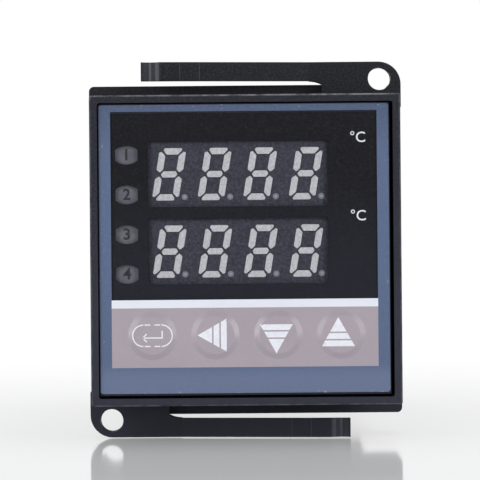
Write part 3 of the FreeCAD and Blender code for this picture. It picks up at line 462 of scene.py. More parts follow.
def lamp_lens():
    """A frosted grey lens with faint clouding and dust."""
    nodes = Nodes("lamp_lens")
    cloud = nodes.noise(900, detail=3)
    body = nodes.mix(
        nodes.ramp(cloud, 0.3, 0.7), shade(LAMP_GREY, 0.85), shade(LAMP_GREY, 1.2)
    )
    body = nodes.mix(dust(nodes, 900, 0.06), body, colour(150, 150, 158))
    nodes.paint(body)
    nodes.rough(0.5)
    return nodes.material


def ink(name, base):
    """A thin printed mark with slightly uneven ink."""
    nodes = Nodes(name)
    cloud = nodes.noise(2400, detail=3)
    nodes.paint(nodes.mix(nodes.ramp(cloud, 0.3, 0.7), shade(base, 0.94), shade(base, 1.04)))
    nodes.rough(0.5)
    return nodes.material


def circuit_board():
    """Green solder mask with fine copper tracks showing through."""
    nodes = Nodes("circuit_board")
    tracks = nodes.add("ShaderNodeTexBrick")
    nodes.link(nodes.place, tracks.inputs["Vector"])
    tracks.inputs["Scale"].default_value = 420
    tracks.inputs["Color1"].default_value = colour(12, 74, 40)
    tracks.inputs["Color2"].default_value = colour(16, 84, 46)
    tracks.inputs["Mortar"].default_value = colour(44, 110, 62)
    tracks.inputs["Mortar Size"].default_value = 0.03
    cloud = nodes.noise(500, detail=2)
    share = nodes.ramp(cloud, 0.3, 0.8, 0, 0.4)
    nodes.paint(nodes.mix(share, tracks.outputs[0], colour(8, 52, 30)))
    nodes.rough(0.32)
    nodes.bump(tracks.outputs["Fac"], 0.00004, 0.5)
    return nodes.material


def metal(name, base, roughness, brushed=(1, 1, 1)):
    """Plated or bare metal with fine brush lines and smudges."""
    nodes = Nodes(name)
    lines = nodes.noise(2600, detail=4, place=nodes.stretched(*brushed))
    smudge = nodes.noise(500, detail=3)
    nodes.paint(nodes.mix(nodes.ramp(smudge, 0.3, 0.75), shade(base, 0.8), shade(base, 1.08)))
    nodes.rough(nodes.ramp(lines, 0.3, 0.7, roughness - 0.06, roughness + 0.12))
    nodes.bump(lines, 0.00002, 0.4)
    nodes.set(Metallic=1.0)
    return nodes.material


def laminations():
    """A stack of thin core plates seen on edge."""
    nodes = Nodes("core_plates")
    wave = nodes.add("ShaderNodeTexWave", bands_direction="X")
    nodes.link(nodes.place, wave.inputs["Vector"])
    wave.inputs["Scale"].default_value = 320
    wave.inputs["Distortion"].default_value = 0.6
    nodes.paint(nodes.mix(wave.outputs["Fac"], colour(70, 70, 74), colour(150, 150, 154)))
    nodes.rough(0.45)
    nodes.set(Metallic=0.8)
    nodes.bump(wave.outputs["Fac"], 0.00005, 0.6)
    return nodes.material


def winding_tape():
    """Amber tape over the coil, with the turns showing as faint ridges."""
    nodes = Nodes("winding_tape")
    wave = nodes.add("ShaderNodeTexWave", bands_direction="Z")
    nodes.link(nodes.place, wave.inputs["Vector"])
    wave.inputs["Scale"].default_value = 600
    nodes.paint(nodes.mix(wave.outputs["Fac"], colour(176, 128, 34), colour(205, 160, 58)))
    nodes.rough(0.3)
    nodes.bump(wave.outputs["Fac"], 0.00003, 0.5)
    return nodes.material


def small_plastic(name, base, roughness=0.45):
    """Moulded bodies of small parts: slight mottling and grain."""
    nodes = Nodes(name)
    cloud = nodes.noise(700, detail=3)
    nodes.paint(nodes.mix(nodes.ramp(cloud, 0.3, 0.7), shade(base, 0.85), shade(base, 1.12)))
    nodes.rough(roughness)
    nodes.bump(nodes.noise(4000), 0.00002, 0.3)
    return nodes.material


# ---------------------------------------------------------------- mesh helpers


def mesh_object(name, shape):
    """Turn a bmesh into an object in the scene."""
    mesh = bpy.data.meshes.new(name)
    shape.to_mesh(mesh)
    shape.free()
    made = bpy.data.objects.new(name, mesh)
    bpy.context.scene.collection.objects.link(made)
    return made


def new_piece(name, shape, material):
    """Turn a bmesh into a piece with its material."""
    piece = mesh_object(name, shape)
    piece.data.materials.append(material)
    return piece


def bridge(shape, rings):
    """Join each ring of vertices to the next one with quads."""
    for first, second in zip(rings, rings[1:]):
        count = len(first)
        for index in range(count):
            following = (index + 1) % count
            shape.faces.new((first[index], first[following], second[following], second[index]))


def smooth(piece, angle):
    """Smooth shading, kept sharp where faces meet at more than the angle."""
    piece.data.shade_smooth()
    limit = math.radians(angle)
    shape = bmesh.new()
    shape.from_mesh(piece.data)
    for edge in shape.edges:
        if len(edge.link_faces) == 2:
            edge.smooth = edge.calc_face_angle(0.0) < limit
        else:
            edge.smooth = False
    shape.to_mesh(piece.data)
    shape.free()


def printed_shape(outlines, depth, thickness):
    """Closed outlines of (x, z) points, extruded a little towards the front."""
    shape = bmesh.new()
    for outline in outlines:
        back = [shape.verts.new((x, depth, z)) for x, z in outline]
        front = [shape.verts.new((x, depth - thickness, z)) for x, z in outline]
        bridge(shape, (back, front))
        shape.faces.new(front)
        shape.faces.new(reversed(back))
    bmesh.ops.recalc_face_normals(shape, faces=shape.faces)
    return shape


def flat_print(name, outlines, depth, thickness, material):
    """A thin printed or cast piece on the housing."""
    shape = printed_shape(outlines, depth, thickness)
    piece = new_piece(name, shape, material)
    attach(piece, "housing")
    return piece


def stroke(points, width):
    """The outline of a line of constant width through the points."""
    count = len(points)
    left, right = [], []
    for index, point in enumerate(points):
        directions = []
        if index > 0:
            directions.append((Vector(point) - Vector(points[index - 1])).normalized())
        if index < count - 1:
            directions.append((Vector(points[index + 1]) - Vector(point)).normalized())
        along = sum(directions, Vector((0, 0))).normalized()
        across = Vector((-along.y, along.x))
        reach = width / 2
        if len(directions) == 2:
            reach /= max(0.5, across.dot(Vector((-directions[0].y, directions[0].x))))
        left.append(tuple(Vector(point) + across * reach))
        right.append(tuple(Vector(point) - across * reach))
    return left + right[::-1]


def arc(centre, radius, start, end, steps):
    """Points along an arc, angles in degrees."""
    points = []
    for index in range(steps + 1):
        angle = math.radians(start + (end - start) * index / steps)
        points.append(
            (centre[0] + radius * math.cos(angle), centre[1] + radius * math.sin(angle))
        )
    return points


def ring_points(centre, radius, steps):
    """Points evenly round a whole circle."""
    return arc(centre, radius, 0, 360, steps)[:-1]


# ---------------------------------------------------------------- printed film

# The print stands a little to the right of the pane's own edges, and a little above them.
PRINT_SHIFT = 0.09 * MM
WINDOW_LEFT, WINDOW_RIGHT = window_low.x + PRINT_SHIFT, window_high.x + PRINT_SHIFT
WINDOW_BOTTOM, WINDOW_TOP = window_low.z + 0.22 * MM, window_high.z + 0.28 * MM
PRINT_FRONT = FILM_FRONT + 0.3 * MM
STRIPE_BOTTOM = WINDOW_BOTTOM - 1.25 * MM
KEY_ZONE_BOTTOM = -18.07 * MM
FILM_BOTTOM = film_low.z + 0.16 * MM
FILM_CORNER = 0.4 * MM
PATCH_RADIUS = 3.98 * MM
DOME_FOOT = 3.88 * MM
DOME_SHOULDER = 2.8 * MM
DOME_BEND = 0.22
RING_STEPS = 64
SLOPE_STEPS = 22


def box_outline(left, right, low, high):
    return [(left, low), (right, low), (right, high), (left, high)]


def rounded_outline(left, right, low, high, radius, steps=8):
    """A rectangle with round corners, anticlockwise seen from the front."""
    corners = (
        (right - radius, high - radius, 0),
        (left + radius, high - radius, 90),
        (left + radius, low + radius, 180),
        (right - radius, low + radius, 270),
    )
    points = []
    for x, z, start in corners:
        points += arc((x, z), radius, start, start + 90, steps)
    return points


def sheet(name, outlines, front, back, material):
    """A flat sheet bounded by the first outline, open inside the others."""
    shape = bmesh.new()
    edges = []
    for outline in outlines:
        ring = [shape.verts.new((x, front, z)) for x, z in outline]
        for index, vertex in enumerate(ring):
            edges.append(shape.edges.new((vertex, ring[(index + 1) % len(ring)])))
    bmesh.ops.triangle_fill(shape, use_beauty=True, use_dissolve=False, edges=edges)
    grown = bmesh.ops.extrude_face_region(shape, geom=list(shape.faces))
    for item in grown["geom"]:
        if isinstance(item, bmesh.types.BMVert):
            item.co.y = back
    bmesh.ops.recalc_face_normals(shape, faces=shape.faces)
    piece = new_piece(name, shape, material)
    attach(piece, "housing")
    return piece


def make_film(border, white, mauve):
    """The film in three prints: border, white stripe and the key zone, open at each key."""
    outer = rounded_outline(film_low.x, film_high.x, FILM_BOTTOM, film_high.z, FILM_CORNER)
    inner = box_outline(WINDOW_LEFT, WINDOW_RIGHT, KEY_ZONE_BOTTOM, WINDOW_TOP)
    stripe = box_outline(WINDOW_LEFT, WINDOW_RIGHT, STRIPE_BOTTOM, WINDOW_BOTTOM)
    zone = box_outline(WINDOW_LEFT, WINDOW_RIGHT, KEY_ZONE_BOTTOM, STRIPE_BOTTOM)
    holes = [
        ring_points((centre.x, centre.z), PATCH_RADIUS, RING_STEPS) for centre in KEY_CENTRES
    ]
    piece = sheet("film_border", [outer, inner], FILM_FRONT, FILM_BACK, border)
    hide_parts("front_overlay")
    sheet("film_stripe", [stripe], FILM_FRONT, FILM_BACK, white)
    sheet("film_key_zone", [zone] + holes, FILM_FRONT, FILM_BACK, mauve)


def dome_profile():
    """Radius and height of the embossed patch, from its flat edge to its middle."""
    points = [(PATCH_RADIUS, 0.0)]
    for index in range(SLOPE_STEPS + 1):
        radius = DOME_FOOT + (DOME_SHOULDER - DOME_FOOT) * index / SLOPE_STEPS
        points.append((radius, dome_height(radius)))
    points += [(share * DOME_SHOULDER, dome_height(0)) for share in (0.66, 0.33)]
    return points


def dome_height(radius):
    """How far the film stands up at a distance from a key's centre.

    It is an even slope with a soft foot and shoulder.
    """
    share = (DOME_FOOT - radius) / (DOME_FOOT - DOME_SHOULDER)
    share = min(1.0, max(0.0, share))
    if share < DOME_BEND:
        level = share * share / (2 * DOME_BEND)
    elif share > 1 - DOME_BEND:
        level = 1 - DOME_BEND - (1 - share) ** 2 / (2 * DOME_BEND)
    else:
        level = share - DOME_BEND / 2
    return (FILM_FRONT - DOME_CROWN) * level / (1 - DOME_BEND)


def make_key_patch(name, centre, material):
    """The embossed patch of film over one key."""
    shape = bmesh.new()
    rings = []
    for radius, height in dome_profile():
        ring = ring_points((centre.x, centre.z), radius, RING_STEPS)
        rings.append([shape.verts.new((x, FILM_FRONT - height, z)) for x, z in ring])
    bridge(shape, rings)
    shape.faces.new(rings[-1])
    bmesh.ops.recalc_face_normals(shape, faces=shape.faces)
    piece = new_piece(f"film_{name}_dome", shape, material)
    smooth(piece, 60)
    follow_key(piece)


def follow_key(piece):
    """Bake the piece's placement into its mesh."""
    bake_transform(piece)


# ---------------------------------------------------------------- marks on the keys

MARK_THICKNESS = 0.012 * MM
MARK_LINE = 0.2 * MM


def stadium_dashes(centre, width, height):
    """A broken stadium: an arc at each end, and two dashes above and below."""
    radius = height / 2
    run = width / 2 - radius
    outlines = []
    for side in (1, -1):
        points = [
            (centre.x + side * x, centre.z + z) for x, z in arc((run, 0), radius, -90, 90, 24)
        ]
        outlines.append(stroke(points, MARK_LINE))
    half = 0.45 * MM
    for up in (centre.z + radius, centre.z - radius):
        for across in (centre.x - 0.76 * MM, centre.x + 0.76 * MM):
            outlines.append(stroke([(across - half, up), (across + half, up)], MARK_LINE))
    return outlines


def return_arrow(centre):
    """A plain bent arrow in place of a word."""
    left, right = centre.x - 1.5 * MM, centre.x + 1.5 * MM
    top, low = centre.z + 0.75 * MM, centre.z - 0.35 * MM
    barb = 0.62 * MM
    stem = [(right, top), (right, low), (left, low)]
    head = [(left + barb, low + barb), (left, low), (left + barb, low - barb)]
    return [stroke(stem, MARK_LINE), stroke(head, MARK_LINE)]


def cut_triangle(centre, width, turn):
    """A triangle cut across into a tip and two strips; turn points it, in degrees."""
    height, gap, strip = 4.5 * MM, 0.23 * MM, 0.9 * MM
    tip = height - 2 * strip - 2 * gap
    levels = [(0, tip), (tip + gap, tip + gap + strip), (height - strip, height)]
    spin = math.radians(turn)
    outlines = []
    for near, far in levels:
        half_near = width / 2 * near / height
        half_far = width / 2 * far / height
        corners = [(-half_far, far), (half_far, far)]
        corners += [(half_near, near), (-half_near, near)] if near > 0 else [(0, 0)]
        placed = []
        for across, along in corners:
            up = height / 2 - along
            x = across * math.cos(spin) - up * math.sin(spin)
            z = across * math.sin(spin) + up * math.cos(spin)
            placed.append((centre.x + x, centre.z + z))
        outlines.append(placed)
    return outlines


def make_key_marks(material):
    """The white marks printed on the four domes, divided finely and draped over them."""
    mode, shift, down, up = KEY_CENTRES
    marks = {
        "mode": stadium_dashes(mode, 6.1 * MM, 3.3 * MM) + return_arrow(mode),
        "shift": cut_triangle(shift + Vector((-0.5 * MM, 0, 0)), 5.1 * MM, 90),
        "down": cut_triangle(down + Vector((-0.3 * MM, 0, -0.65 * MM)), 5.05 * MM, 180),
        "up": cut_triangle(up + Vector((-0.45 * MM, 0, 0.38 * MM)), 5.1 * MM, 0),
    }
    for (name, outlines), centre in zip(marks.items(), KEY_CENTRES):
        shape = printed_shape(outlines, FILM_FRONT, 2.5 * MARK_THICKNESS)
        bmesh.ops.triangulate(shape, faces=shape.faces)
        for _ in range(3):
            long_edges = [edge for edge in shape.edges if edge.calc_length() > 0.45 * MM]
            bmesh.ops.subdivide_edges(shape, edges=long_edges, cuts=1)
            bmesh.ops.triangulate(shape, faces=shape.faces)
        for vertex in shape.verts:
            radius = math.hypot(vertex.co.x - centre.x, vertex.co.z - centre.z)
            vertex.co.y -= dome_height(radius)
        piece = new_piece(f"mark_{name}", shape, material)
        follow_key(piece)


# ---------------------------------------------------------------- window and lamps


LAMP_COUNT = 4
LAMP_WIDTH = 3.5 * MM
LAMP_HEIGHT = 2.9 * MM
LAMP_SIDE = 1.65 * MM


def lens_outline(centre):
    """A lamp's outline: two straight sides, with an arc above and below."""
    rise = (LAMP_HEIGHT - LAMP_SIDE) / 2
    radius = ((LAMP_WIDTH / 2) ** 2 + rise**2) / (2 * rise)
    spread = math.degrees(math.asin(LAMP_WIDTH / 2 / radius))
    points = []
    for up, middle_angle in ((1, 90), (-1, 270)):
        place = (centre.x, centre.z + up * (LAMP_HEIGHT / 2 - radius))
        points += arc(place, radius, middle_angle - spread, middle_angle + spread, 10)
    return points


def lamp_centres():
    """Centres of the lenses, from the top one down."""
    low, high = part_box("indicator_lenses")
    pitch = (high.z - low.z - LAMP_HEIGHT) / (LAMP_COUNT - 1)
    x, top = (low.x + high.x) / 2, high.z - LAMP_HEIGHT / 2
    return [Vector((x, low.y, top - pitch * index)) for index in range(LAMP_COUNT)]


def make_window_print(material):
    """The black print of the window, open over the two displays and the four lamps."""
    outlines = [box_outline(WINDOW_LEFT, WINDOW_RIGHT, WINDOW_BOTTOM, WINDOW_TOP)]
    for node in ("upper_display", "lower_display"):
        low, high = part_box(node)
        outlines.append(box_outline(low.x, high.x, low.z, high.z))
    for centre in lamp_centres():
        outlines.append(lens_outline(centre))
    back = PRINT_FRONT + 0.05 * MM
    sheet("window_print", outlines, PRINT_FRONT, back, material)


def soft_corners(outline, cut):
    """Round each corner of an outline, from a distance before it to the same after it."""
    count = len(outline)
    points = []
    for index, corner in enumerate(outline):
        before, after = outline[index - 1], outline[(index + 1) % count]
        start = corner + (before - corner).normalized() * cut
        end = corner + (after - corner).normalized() * cut
        for share in (0, 0.25, 0.5, 0.75, 1):
            point = start.lerp(corner, share).lerp(corner.lerp(end, share), share)
            points.append((point.x, point.y))
    return points


# The two kinds of level bar and the upright bar, in mm from the middle of a digit that
# doesn't lean yet.
UPPER_BAR = ((-1.43, 3.75), (-0.9, 3.05), (0.9, 3.05), (1.43, 3.75), (1.3, 4.04), (-1.3, 4.04))
MIDDLE_BAR = ((-1.27, 0), (-0.96, -0.48), (0.96, -0.48), (1.27, 0), (0.96, 0.48), (-0.96, 0.48))
UPRIGHT = ((1.5, 0.29), (2.06, 0.72), (2.06, 3.38), (1.72, 3.5), (1.05, 2.86), (1.03, 0.78))
DIGIT_SLANT = math.tan(math.radians(9.5))
POINT_PLACE = Vector((2.37 * MM, -3.53 * MM))


def digit_centres(node):
    """The middle of each digit, from the level bars at the display's mid height."""
    low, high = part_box(node)
    level = (low.z + high.z) / 2
    centres = []
    for points in solids(node):
        left, right = extent(points, 0)
        bottom, top = extent(points, 2)
        if abs((bottom + top) / 2 - level) < 0.3 * MM:
            centres.append(Vector(((left + right) / 2, level)))
    return sorted(centres, key=lambda centre: centre.x)


def digit_outlines(centre):
    """The seven segments of a leaning digit round its centre."""
    bars = [(UPPER_BAR, 1, 1), (UPPER_BAR, 1, -1), (MIDDLE_BAR, 1, 1)]
    bars += [(UPRIGHT, flip_x, flip_z) for flip_x in (1, -1) for flip_z in (1, -1)]
    outlines = []
    for bar, flip_x, flip_z in bars:
        corners = []
        for across, up in bar:
            across, up = across * flip_x * MM, up * flip_z * MM
            corners.append(centre + Vector((across + up * DIGIT_SLANT, up)))
        outlines.append(soft_corners(corners, 0.13 * MM))
    return outlines


def make_digits(cast, point, painted_glint):
    """The cast segments with their soft corners, and the round point after each digit with a
    paler painted highlight in its middle.
    """
    for node in ("upper_segments", "lower_segments"):
        low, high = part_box(node)
        centres = digit_centres(node)
        outlines = [outline for centre in centres for outline in digit_outlines(centre)]
        title = node.replace("segments", "digits")
        piece = flat_print(title, outlines, high.y, high.y - low.y + 0.02 * MM, cast)
        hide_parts(node)
        # Each point gets a paler middle disc: a painted highlight.
        for name, radius, thickness, finish in (
            ("points", 0.47 * MM, MARK_THICKNESS, point),
            ("point_cores", 0.16 * MM, 2 * MARK_THICKNESS, painted_glint),
        ):
            outlines = [ring_points(centre + POINT_PLACE, radius, 20) for centre in centres]
            title = node.replace("segments", name)
            flat_print(title, outlines, low.y, thickness, finish)


def make_pane(material):
    """The pane's clear front skin."""
    outline = box_outline(WINDOW_LEFT, WINDOW_RIGHT, WINDOW_BOTTOM, WINDOW_TOP)
    shape = bmesh.new()
    face = shape.faces.new([shape.verts.new((x, FILM_FRONT, z)) for x, z in outline])
    face.normal_update()
    if face.normal.y > 0:
        face.normal_flip()
    piece = new_piece("window_pane", shape, material)
    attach(piece, "housing")
    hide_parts("display_window")


CAP_SHARE = 0.7
UNIT_SIGN_X = 17.4 * MM
UNIT_SIGN_LEVELS = (17.2 * MM, 5.1 * MM)


def text_mark(name, words, height, place, material, weight, thickness=MARK_THICKNESS):
    """Plain characters as a thin solid, centred on a place, of a given cap height."""
    data = bpy.data.curves.new(name, "FONT")
    data.body = words
    data.size = height / CAP_SHARE
    data.align_x = "CENTER"
    data.align_y = "CENTER"
    data.extrude = thickness / 2
    data.offset = weight
    data.resolution_u = 4
    data.materials.append(material)
    piece = bpy.data.objects.new(name, data)
    bpy.context.scene.collection.objects.link(piece)
    piece.rotation_euler = (math.radians(90), 0, 0)
    piece.location = place
    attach(piece, "housing")
    return piece


def make_labels(dark, white):
    """Plain numbers on the lamps and a unit sign beside each display."""
    for number, centre in enumerate(lamp_centres(), 1):
        place = (centre.x, centre.y - 0.02 * MM, centre.z)
        text_mark(f"lamp_number_{number}", str(number), 1.7 * MM, place, dark, 0.06 * MM)
    for number, up in enumerate(UNIT_SIGN_LEVELS, 1):
        place = (UNIT_SIGN_X, PRINT_FRONT - 0.02 * MM, up)
        text_mark(f"unit_sign_{number}", "°C", 1.6 * MM, place, white, 0.01 * MM)


# ---------------------------------------------------------------- rear terminals

LAND_BACK = block_high.y - 2.0 * MM
NUMBER_REACH = 10.6 * MM
PLATE_THICKNESS = 1.0 * MM
WASHER_THICKNESS = 0.8 * MM
HEAD_HEIGHT = 2.1 * MM
HEAD_RADIUS = 2.7 * MM
SHANK_RADIUS = 1.4 * MM
SCREW_REACH = 8.0 * MM


def add_block(shape, outlines, depths):
    """A closed solid through matching (x, z) outlines, each at its own depth."""
    rings = [
        [shape.verts.new((x, depth, z)) for x, z in outline]
        for outline, depth in zip(outlines, depths)
    ]
    bridge(shape, rings)
    shape.faces.new(rings[0])
    shape.faces.new(reversed(rings[-1]))


def eased_plate(shape, box, near, far, radius, bevel):
    """A plate between two depths, with round corners and an eased rear edge."""
    left, right, low, high = box
    full = rounded_outline(left, right, low, high, radius, 5)
    smaller = rounded_outline(
        left + bevel, right - bevel, low + bevel, high - bevel, radius - bevel / 2, 5
    )
    add_block(shape, [full, full, smaller], [near, far - bevel, far])


def plus_outline(half, reach):
    """A cross of four arms round the origin, anticlockwise."""
    arm = [(half, half), (half, reach), (-half, reach)]
    points = []
    for turn in range(4):
        spin = Matrix.Rotation(math.radians(90 * turn), 2)
        points += [tuple(spin @ Vector(point)) for point in arm]
    return points


def screw_mesh():
    """A pan-head screw with a cross recess; its head sits on y = 0 and faces +Y."""
    head = [
        (SHANK_RADIUS, -SCREW_REACH + 0.4 * MM),
        (SHANK_RADIUS, 0),
        (HEAD_RADIUS, 0),
        (HEAD_RADIUS, 0.55 * HEAD_HEIGHT),
        (0.95 * HEAD_RADIUS, 0.76 * HEAD_HEIGHT),
        (0.82 * HEAD_RADIUS, 0.9 * HEAD_HEIGHT),
        (0.6 * HEAD_RADIUS, 0.98 * HEAD_HEIGHT),
        (0.3 * HEAD_RADIUS, HEAD_HEIGHT),
    ]
    levels = [(0.75 * SHANK_RADIUS, -SCREW_REACH)] + head
    shape = bmesh.new()
    radii, depths = zip(*levels)
    add_block(shape, [ring_points((0, 0), radius, 36) for radius in radii], depths)
    bmesh.ops.recalc_face_normals(shape, faces=shape.faces)
    recess = bmesh.new()
    arms = [plus_outline(0.3 * MM, 0.75 * MM), plus_outline(0.46 * MM, 1.75 * MM)]
    add_block(recess, arms, [0.35 * HEAD_HEIGHT, 1.15 * HEAD_HEIGHT])
    bmesh.ops.recalc_face_normals(recess, faces=recess.faces)
    blank = mesh_object("screw_blank", shape)
    cutter = mesh_object("screw_recess", recess)
    cut = blank.modifiers.new("recess", "BOOLEAN")
    cut.operation = "DIFFERENCE"
    cut.solver = "EXACT"
    cut.object = cutter
    graph = bpy.context.evaluated_depsgraph_get()
    mesh = bpy.data.meshes.new_from_object(blank.evaluated_get(graph))
    for item in (blank, cutter):
        bpy.data.objects.remove(item)
    return mesh


def make_terminals(brass, plated):
    """Stamped contacts, square washers and cross-recessed screws over the plain solids."""
    contacts, washers, screws = bmesh.new(), bmesh.new(), bmesh.new()
    screw = screw_mesh()
    for index, points in enumerate(solids("terminal_contacts")):
        left, right = extent(points, 0)
        near, far = extent(points, 1)
        low, high = extent(points, 2)
        back = far - HEAD_HEIGHT - WASHER_THICKNESS
        eased_plate(
            contacts, (left, right, low, high), back - PLATE_THICKNESS, back, 0.5 * MM, 0.12 * MM
        )
        foot = [point for point in points if point.y < near + 0.01 * MM]
        tail = extent(foot, 0) + extent(foot, 2)
        outline = box_outline(*tail)
        add_block(contacts, [outline, outline], [near, back - PLATE_THICKNESS])
        margin = (right - left - (high - low)) / 2 + 0.2 * MM
        edge = 0.2 * MM
        eased_plate(
            washers,
            (left + margin, right - margin, low + edge, high - edge),
            back,
            back + WASHER_THICKNESS,
            0.7 * MM,
            0.15 * MM,
        )
        before = len(screws.verts)
        screws.from_mesh(screw)
        screws.verts.ensure_lookup_table()
        added = screws.verts[before:]
        turn = Matrix.Rotation(math.radians(37 * index % 90), 3, "Y")
        bmesh.ops.rotate(screws, verts=added, cent=(0, 0, 0), matrix=turn)
        place = ((left + right) / 2, back + WASHER_THICKNESS, (low + high) / 2)
        bmesh.ops.translate(screws, verts=added, vec=place)
    for name, shape, material, slot in (
        ("terminal_plates", contacts, brass, "brass"),
        ("terminal_washers", washers, plated, "steel"),
        ("terminal_screws", screws, plated, "steel"),
    ):
        bmesh.ops.recalc_face_normals(shape, faces=shape.faces)
        piece = new_piece(name, shape, material)
        smooth(piece, 30)
        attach(piece, "housing")
    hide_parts("terminal_contacts")


def make_terminal_numbers(material):
    """Moulded numbers on the raised land between the columns, one beside each terminal."""
    places = []
    for points in solids("terminal_contacts"):
        left, right = extent(points, 0)
        low, high = extent(points, 2)
        places.append(((left + right) / 2, (low + high) / 2))
    places.sort(key=lambda place: (-place[0], -place[1]))
    for number, (across, up) in enumerate(places, 1):
        place = (math.copysign(NUMBER_REACH, across), LAND_BACK + 0.06 * MM, up)
        name = f"terminal_number_{number}"
        piece = text_mark(name, str(number), 1.9 * MM, place, material, 0.02 * MM, 0.16 * MM)
        piece.rotation_euler.z = math.radians(180)


# ---------------------------------------------------------------- finishes on the CAD nodes


def finish_nodes(brass):
    """Give the CAD nodes their materials; the film and the pane have pieces of their own."""
    # The case and the bracket get painted light at the bottom and painted shade at the top.
    case = moulded_plastic("case_plastic", CASE_BLACK, 0.46, rim_wear, (1.35, 0.55))
    bracket = moulded_plastic("bracket_plastic", BRACKET_BLACK, 0.5, spring_wear, (1.8, 0.4))
    board = circuit_board()
    chip = small_plastic("chip_plastic", colour(30, 30, 32))
    finishes = {
        "case": case,
        "front_panel": moulded_plastic("panel_plastic", shade(CASE_BLACK, 0.8), 0.55),
        "terminal_block": moulded_plastic("block_plastic", shade(CASE_BLACK, 0.9), 0.48),
        "mounting_bracket": bracket,
        "upper_display": module_face(),
        "lower_display": module_face(),
        "upper_segments": module_face(),
        "lower_segments": module_face(),
        "indicator_lenses": lamp_lens(),
        "indicator_leds": small_plastic("led_body", colour(210, 208, 196), 0.3),
        "key_switches": chip,
        "display_board": board,
        "power_board": board,
        "control_board": board,
        "board_headers": chip,
        "transformer_core": laminations(),
        "transformer_coil": winding_tape(),
        "filter_capacitor": small_plastic("capacitor_sleeve", colour(28, 34, 72), 0.3),
        "output_relay": small_plastic("relay_cover", colour(44, 92, 150), 0.25),
        "processor_chip": chip,
        "driver_chips": chip,
        "voltage_regulator": chip,
        "terminal_contacts": brass,
    }
    key = small_plastic("key_plastic", colour(170, 168, 166))
    for name in KEY_NAMES:
        finishes[f"{name}_key"] = key
        finishes[f"{name}_key_stem"] = chip
    for node, material in finishes.items():
        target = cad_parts[node]
        target.data.materials.clear()
        target.data.materials.append(material)


# ---------------------------------------------------------------- stage, lights, camera


def studio_white():
    """A pale glossy floor that keeps the shadow, going to plain white further away."""
    nodes = Nodes("stage_floor")
    nodes.paint(colour(250, 250, 251))
    nodes.rough(0.08)
    nodes.set(Specular_IOR_Level=0.5)
    x, y, _ = nodes.axes()
    square = nodes.maths("ADD", nodes.maths("MULTIPLY", x, x), nodes.maths("MULTIPLY", y, y))
    away = nodes.maths("POWER", square, 0.5)
    share = nodes.ramp(away, 0.05, 0.28, 0.2, 1.0)
    rays = nodes.add("ShaderNodeLightPath").outputs
    seen = nodes.maths("MAXIMUM", rays["Is Camera Ray"], rays["Is Glossy Ray"])
    seen = nodes.maths("MAXIMUM", seen, rays["Is Transmission Ray"])
    white = nodes.add("ShaderNodeEmission")
    blend = nodes.add("ShaderNodeMixShader")
    nodes.link(nodes.maths("MULTIPLY", share, seen), blend.inputs["Fac"])
    nodes.link(nodes.shader.outputs[0], blend.inputs[1])
    nodes.link(white.outputs[0], blend.inputs[2])
    output = next(node for node in nodes.tree.nodes if node.type == "OUTPUT_MATERIAL")
    nodes.link(blend.outputs[0], output.inputs["Surface"])
    return nodes.material


FLOOR_GAP = 0.2 * MM
FLOOR_RADIUS = 2.6
FLOOR_BEND = 0.4
WALL_TOP = 0.8


def make_stage():
    """A round pale floor that curves up into a low pale wall on every side."""
    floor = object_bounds()[0][2] - FLOOR_GAP
    profile = [(0.6, floor), (1.6, floor), (FLOOR_RADIUS, floor)]
    for angle in range(15, 91, 15):
        out, up = math.sin(math.radians(angle)), 1 - math.cos(math.radians(angle))
        profile.append((FLOOR_RADIUS + FLOOR_BEND * out, floor + FLOOR_BEND * up))
    profile.append((FLOOR_RADIUS + FLOOR_BEND, floor + WALL_TOP))
    shape = bmesh.new()
    rings = [
        [shape.verts.new((x, y, z)) for x, y in ring_points((0, 0), radius, 72)]
        for radius, z in profile
    ]
    shape.faces.new(rings[0])
    bridge(shape, rings)
    bmesh.ops.recalc_face_normals(shape, faces=shape.faces)
    stage = mesh_object("floor", shape)
    stage.data.shade_smooth()
    stage.data.materials.append(studio_white())


# Name, place, width and height in metres, and power in watts; all face LIT_PLACE.
LIT_PLACE = Vector((0, 0.02, 0))
LIGHTS = (
    ("key", (-0.46, -0.54, 0.28), (0.34, 0.3), 1.55),
    ("second", (0.46, -0.54, 0.26), (0.32, 0.28), 1.4),
    ("low_left", (-0.5, -0.46, 0.03), (0.3, 0.1), 0.8),
    ("low_right", (0.5, -0.46, 0.03), (0.3, 0.1), 0.75),
    ("top", (0.05, 0.15, 0.7), (0.6, 0.3), 1.2),
)


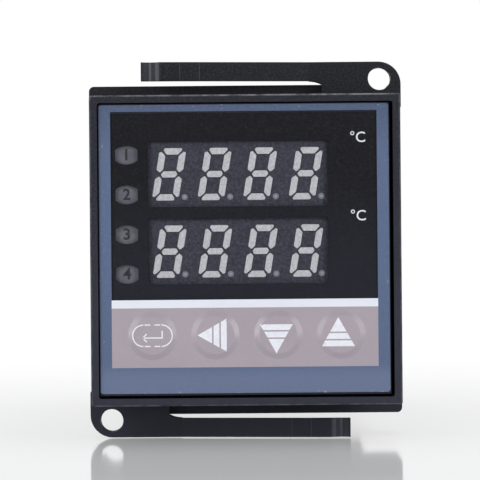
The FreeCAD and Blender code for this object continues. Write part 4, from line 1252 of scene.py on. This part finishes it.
def make_lights():
    """Soft lamps either side of the front and one overhead, and a pale world."""
    for name, place, size, power in LIGHTS:
        light = bpy.data.lights.new(name, "AREA")
        light.shape = "RECTANGLE"
        light.size, light.size_y = size
        light.energy = power
        lamp = bpy.data.objects.new(name, light)
        lamp.location = place
        lamp.rotation_euler = (LIT_PLACE - lamp.location).to_track_quat("-Z", "Y").to_euler()
        bpy.context.scene.collection.objects.link(lamp)
    world = bpy.data.worlds.new("studio")
    world.use_nodes = True
    background = world.node_tree.nodes["Background"]
    background.inputs["Color"].default_value = (0.86, 0.89, 0.95, 1)
    background.inputs["Strength"].default_value = 0.34
    bpy.context.scene.world = world


CAMERA_DISTANCE = 0.375
VIEW_WIDTH = 73.93 * MM
VIEW_CENTRE = (-0.88 * MM, 1.53 * MM)
SENSOR = 36.0
ROLL = math.radians(0.5)


def make_camera():
    """Straight on to the front, turned very slightly, as the controller is seen."""
    data = bpy.data.cameras.new("camera")
    data.sensor_width = SENSOR
    data.lens = SENSOR * CAMERA_DISTANCE / VIEW_WIDTH
    data.clip_start = 0.01
    camera = bpy.data.objects.new("camera", data)
    camera.location = (VIEW_CENTRE[0], BEZEL_FRONT - CAMERA_DISTANCE, VIEW_CENTRE[1])
    camera.rotation_euler = (math.radians(90), ROLL, 0)
    bpy.context.scene.collection.objects.link(camera)
    bpy.context.scene.camera = camera


# ---------------------------------------------------------------- the whole scene

brass_plate = metal("brass", colour(198, 168, 104), 0.35, (1, 8, 1))
finish_nodes(brass_plate)
make_terminals(brass_plate, metal("plated_steel", colour(190, 190, 193), 0.26))
make_terminal_numbers(small_plastic("raised_numbers", colour(70, 71, 78), 0.5))
mauve = printed("print_keys", FILM_MAUVE, 0.32, 0.03, 0.08)
white_print = printed("print_stripe", FILM_WHITE, 0.4, 0.02, 0.04)
make_film(border_print(), white_print, mauve)
for key_name, key_centre in zip(KEY_NAMES, KEY_CENTRES):
    make_key_patch(key_name, key_centre, mauve)
make_key_marks(ink("ink_white", PRINT_WHITE))
make_window_print(window_print())
# The points' paler middles are a painted highlight.
make_digits(
    cast_segments(), ink("point_grey", POINT_GREY), ink("point_painted_glint", colour(150, 152, 160))
)
make_pane(smoked_pane())
make_labels(ink("ink_dark", PRINT_DARK), ink("ink_label", PRINT_WHITE))
make_stage()
make_lights()
make_camera()

scene = bpy.context.scene
scene.view_settings.view_transform = "Standard"
